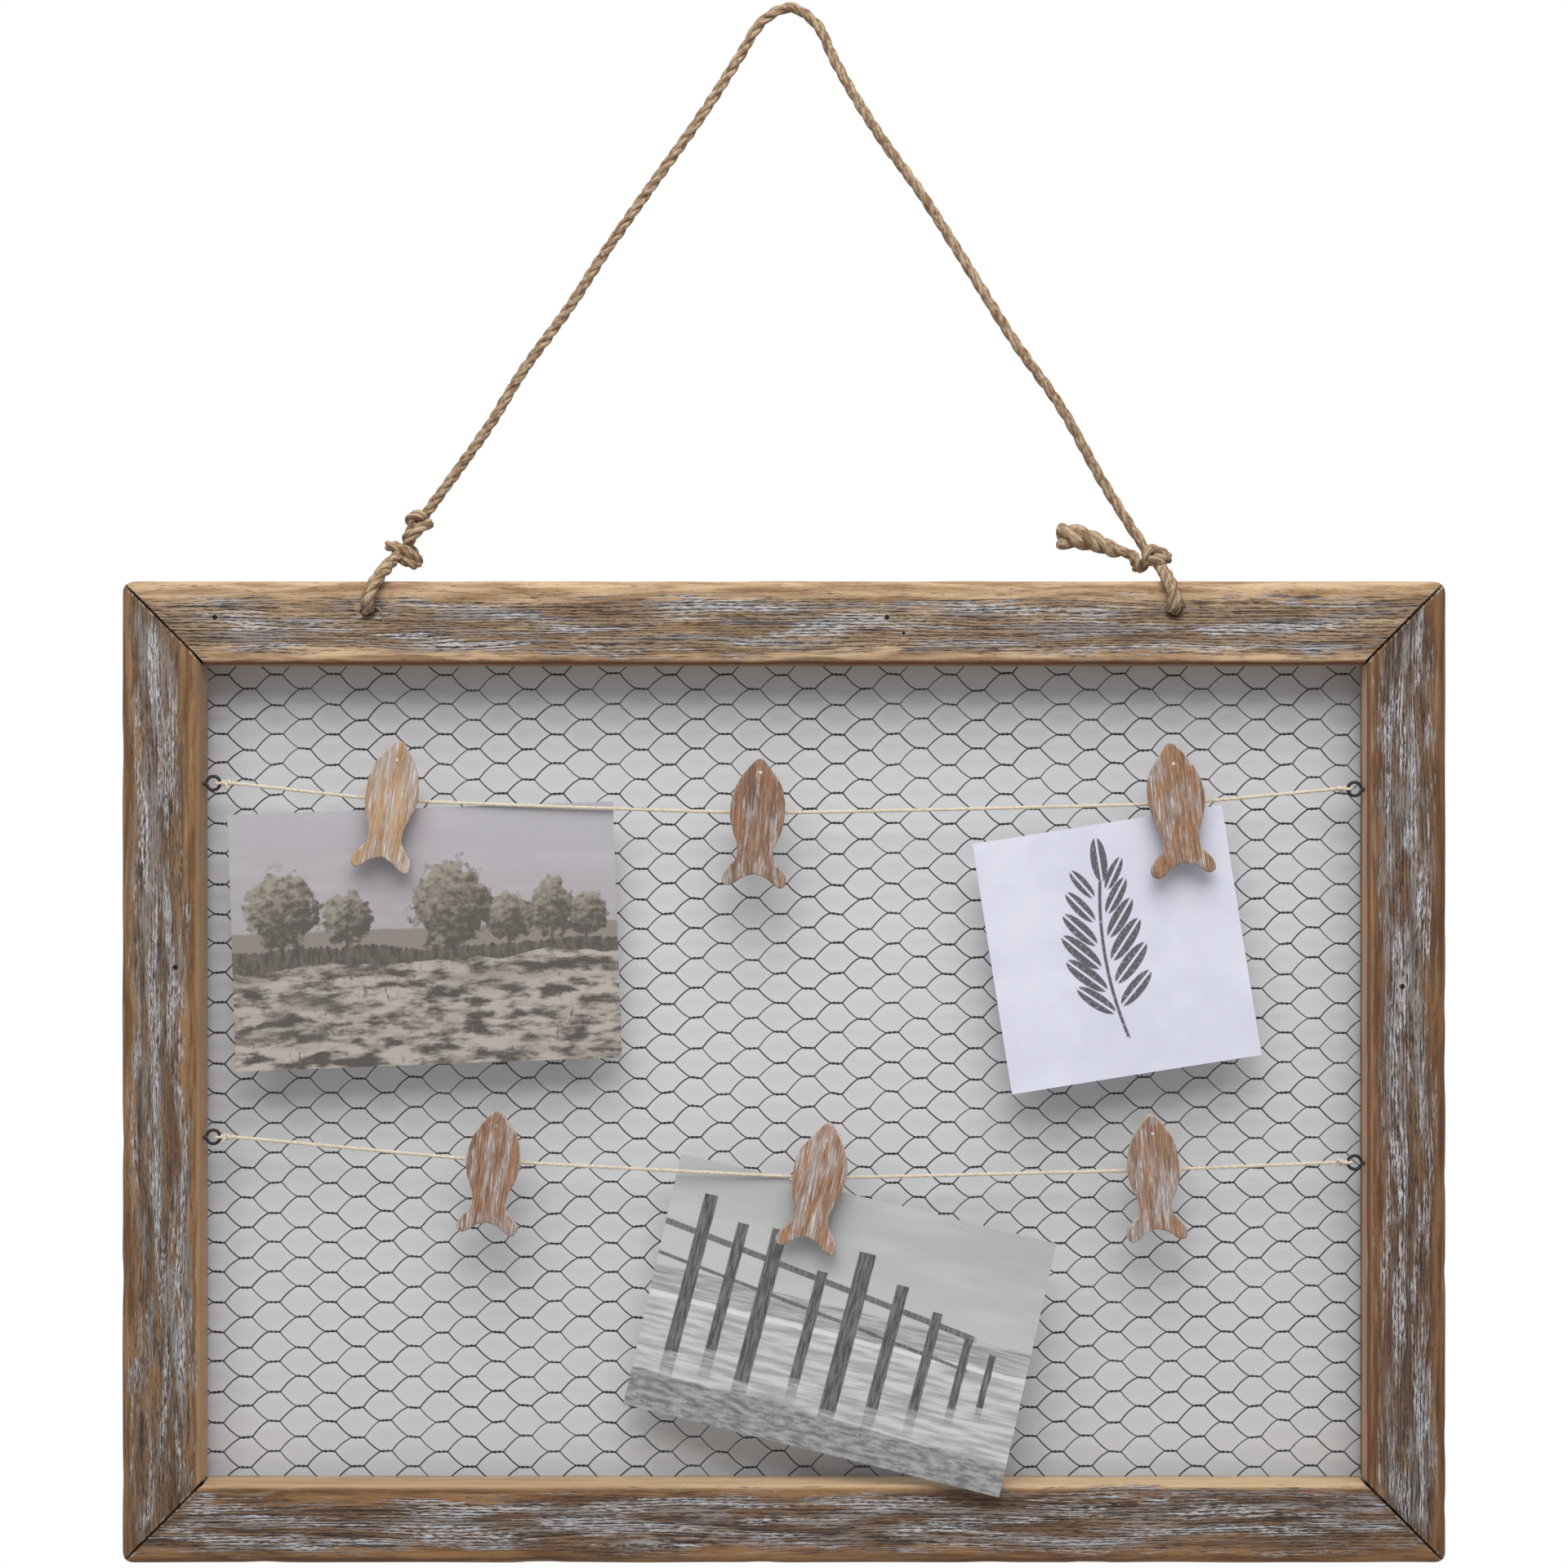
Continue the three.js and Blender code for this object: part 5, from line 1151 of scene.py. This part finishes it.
# Wall and light
# A pale wall shows only through the net, as in a cut-out picture: its patch is seen from
# in front alone and lets the room's light through to the backs. Two soft lamps stand high
# in front, and the room round them is white.
WALL_DEPTH, WALL_HALF_WIDE, WALL_HALF_HIGH = 2.1 * MM, 240 * MM, 173 * MM
wall = bpy.data.meshes.new("wall_patch")
wall.from_pydata([(CENTRE[0] + x * WALL_HALF_WIDE, WALL_DEPTH, CENTRE[2] + z * WALL_HALF_HIGH)
                  for x, z in ((-1, -1), (1, -1), (1, 1), (-1, 1))], [], [(0, 1, 2, 3)])
wall = bpy.data.objects.new("wall_patch", wall)
bpy.context.scene.collection.objects.link(wall)
plaster = Finish("wall_plaster", Roughness=0.9, Specular_IOR_Level=0.1)
level = plaster.place().part(2) - CENTRE[2]
# The wall is painted a faint violet where the top rail's shadow falls, as a painted shade tint, and warm just
# under the rail, as painted light bounced off the wood.
wall_paint_and_bounce = level.fade(0.09, 0.15).between((216, 216, 217), (215, 214, 217))
wall_paint_and_bounce = wall_paint_and_bounce.over(level.fade(0.145, 0.165), (214, 206, 200))
passed = plaster.node("NewGeometry", {}, {}, "Backfacing")
passed = passed | 1 - plaster.node("LightPath", {}, {}, "Is Camera Ray")
clear = plaster.node("BsdfTransparent", {}, {})
plaster.shown(plaster.node("MixShader", {}, {0: passed, 1: Value(plaster, plaster.shader.outputs[0]),
                                             2: clear}), "Material Output")
wall.data.materials.append(plaster.links(Base_Color=wall_paint_and_bounce))

room = bpy.data.worlds.new("room")
bpy.context.scene.world = room
sky = Nodes(room)
glow = sky.node("Background", {}, {0: (0.97, 0.98, 1, 1), 1: 0.45})
white = sky.node("Background", {}, {0: (1, 1, 1, 1), 1: 1})
seen = 0
for kind in ("Camera", "Glossy", "Transmission"):
    seen = seen | sky.node("LightPath", {}, {}, f"Is {kind} Ray")
sky.shown(sky.node("MixShader", {}, {0: seen, 1: glow, 2: white}), "World Output")

for name, place, power in (("lamp_left", (-0.34, -1.2, 0.98), 18.8), ("lamp_right", (0.3, -1.2, 0.98), 17.7)):
    lamp = bpy.data.lights.new(name, "AREA")
    lamp.shape, lamp.size, lamp.energy = "SQUARE", 1.4, power
    stand = bpy.data.objects.new(name, lamp)
    aim = CENTRE - np.array(place)
    stand.location = place
    stand.rotation_euler = (math.atan2(math.hypot(aim[0], aim[1]), -aim[2]), 0, math.atan2(-aim[0], aim[1]))
    bpy.context.scene.collection.objects.link(stand)
bpy.context.scene.view_settings.view_transform = "Standard"
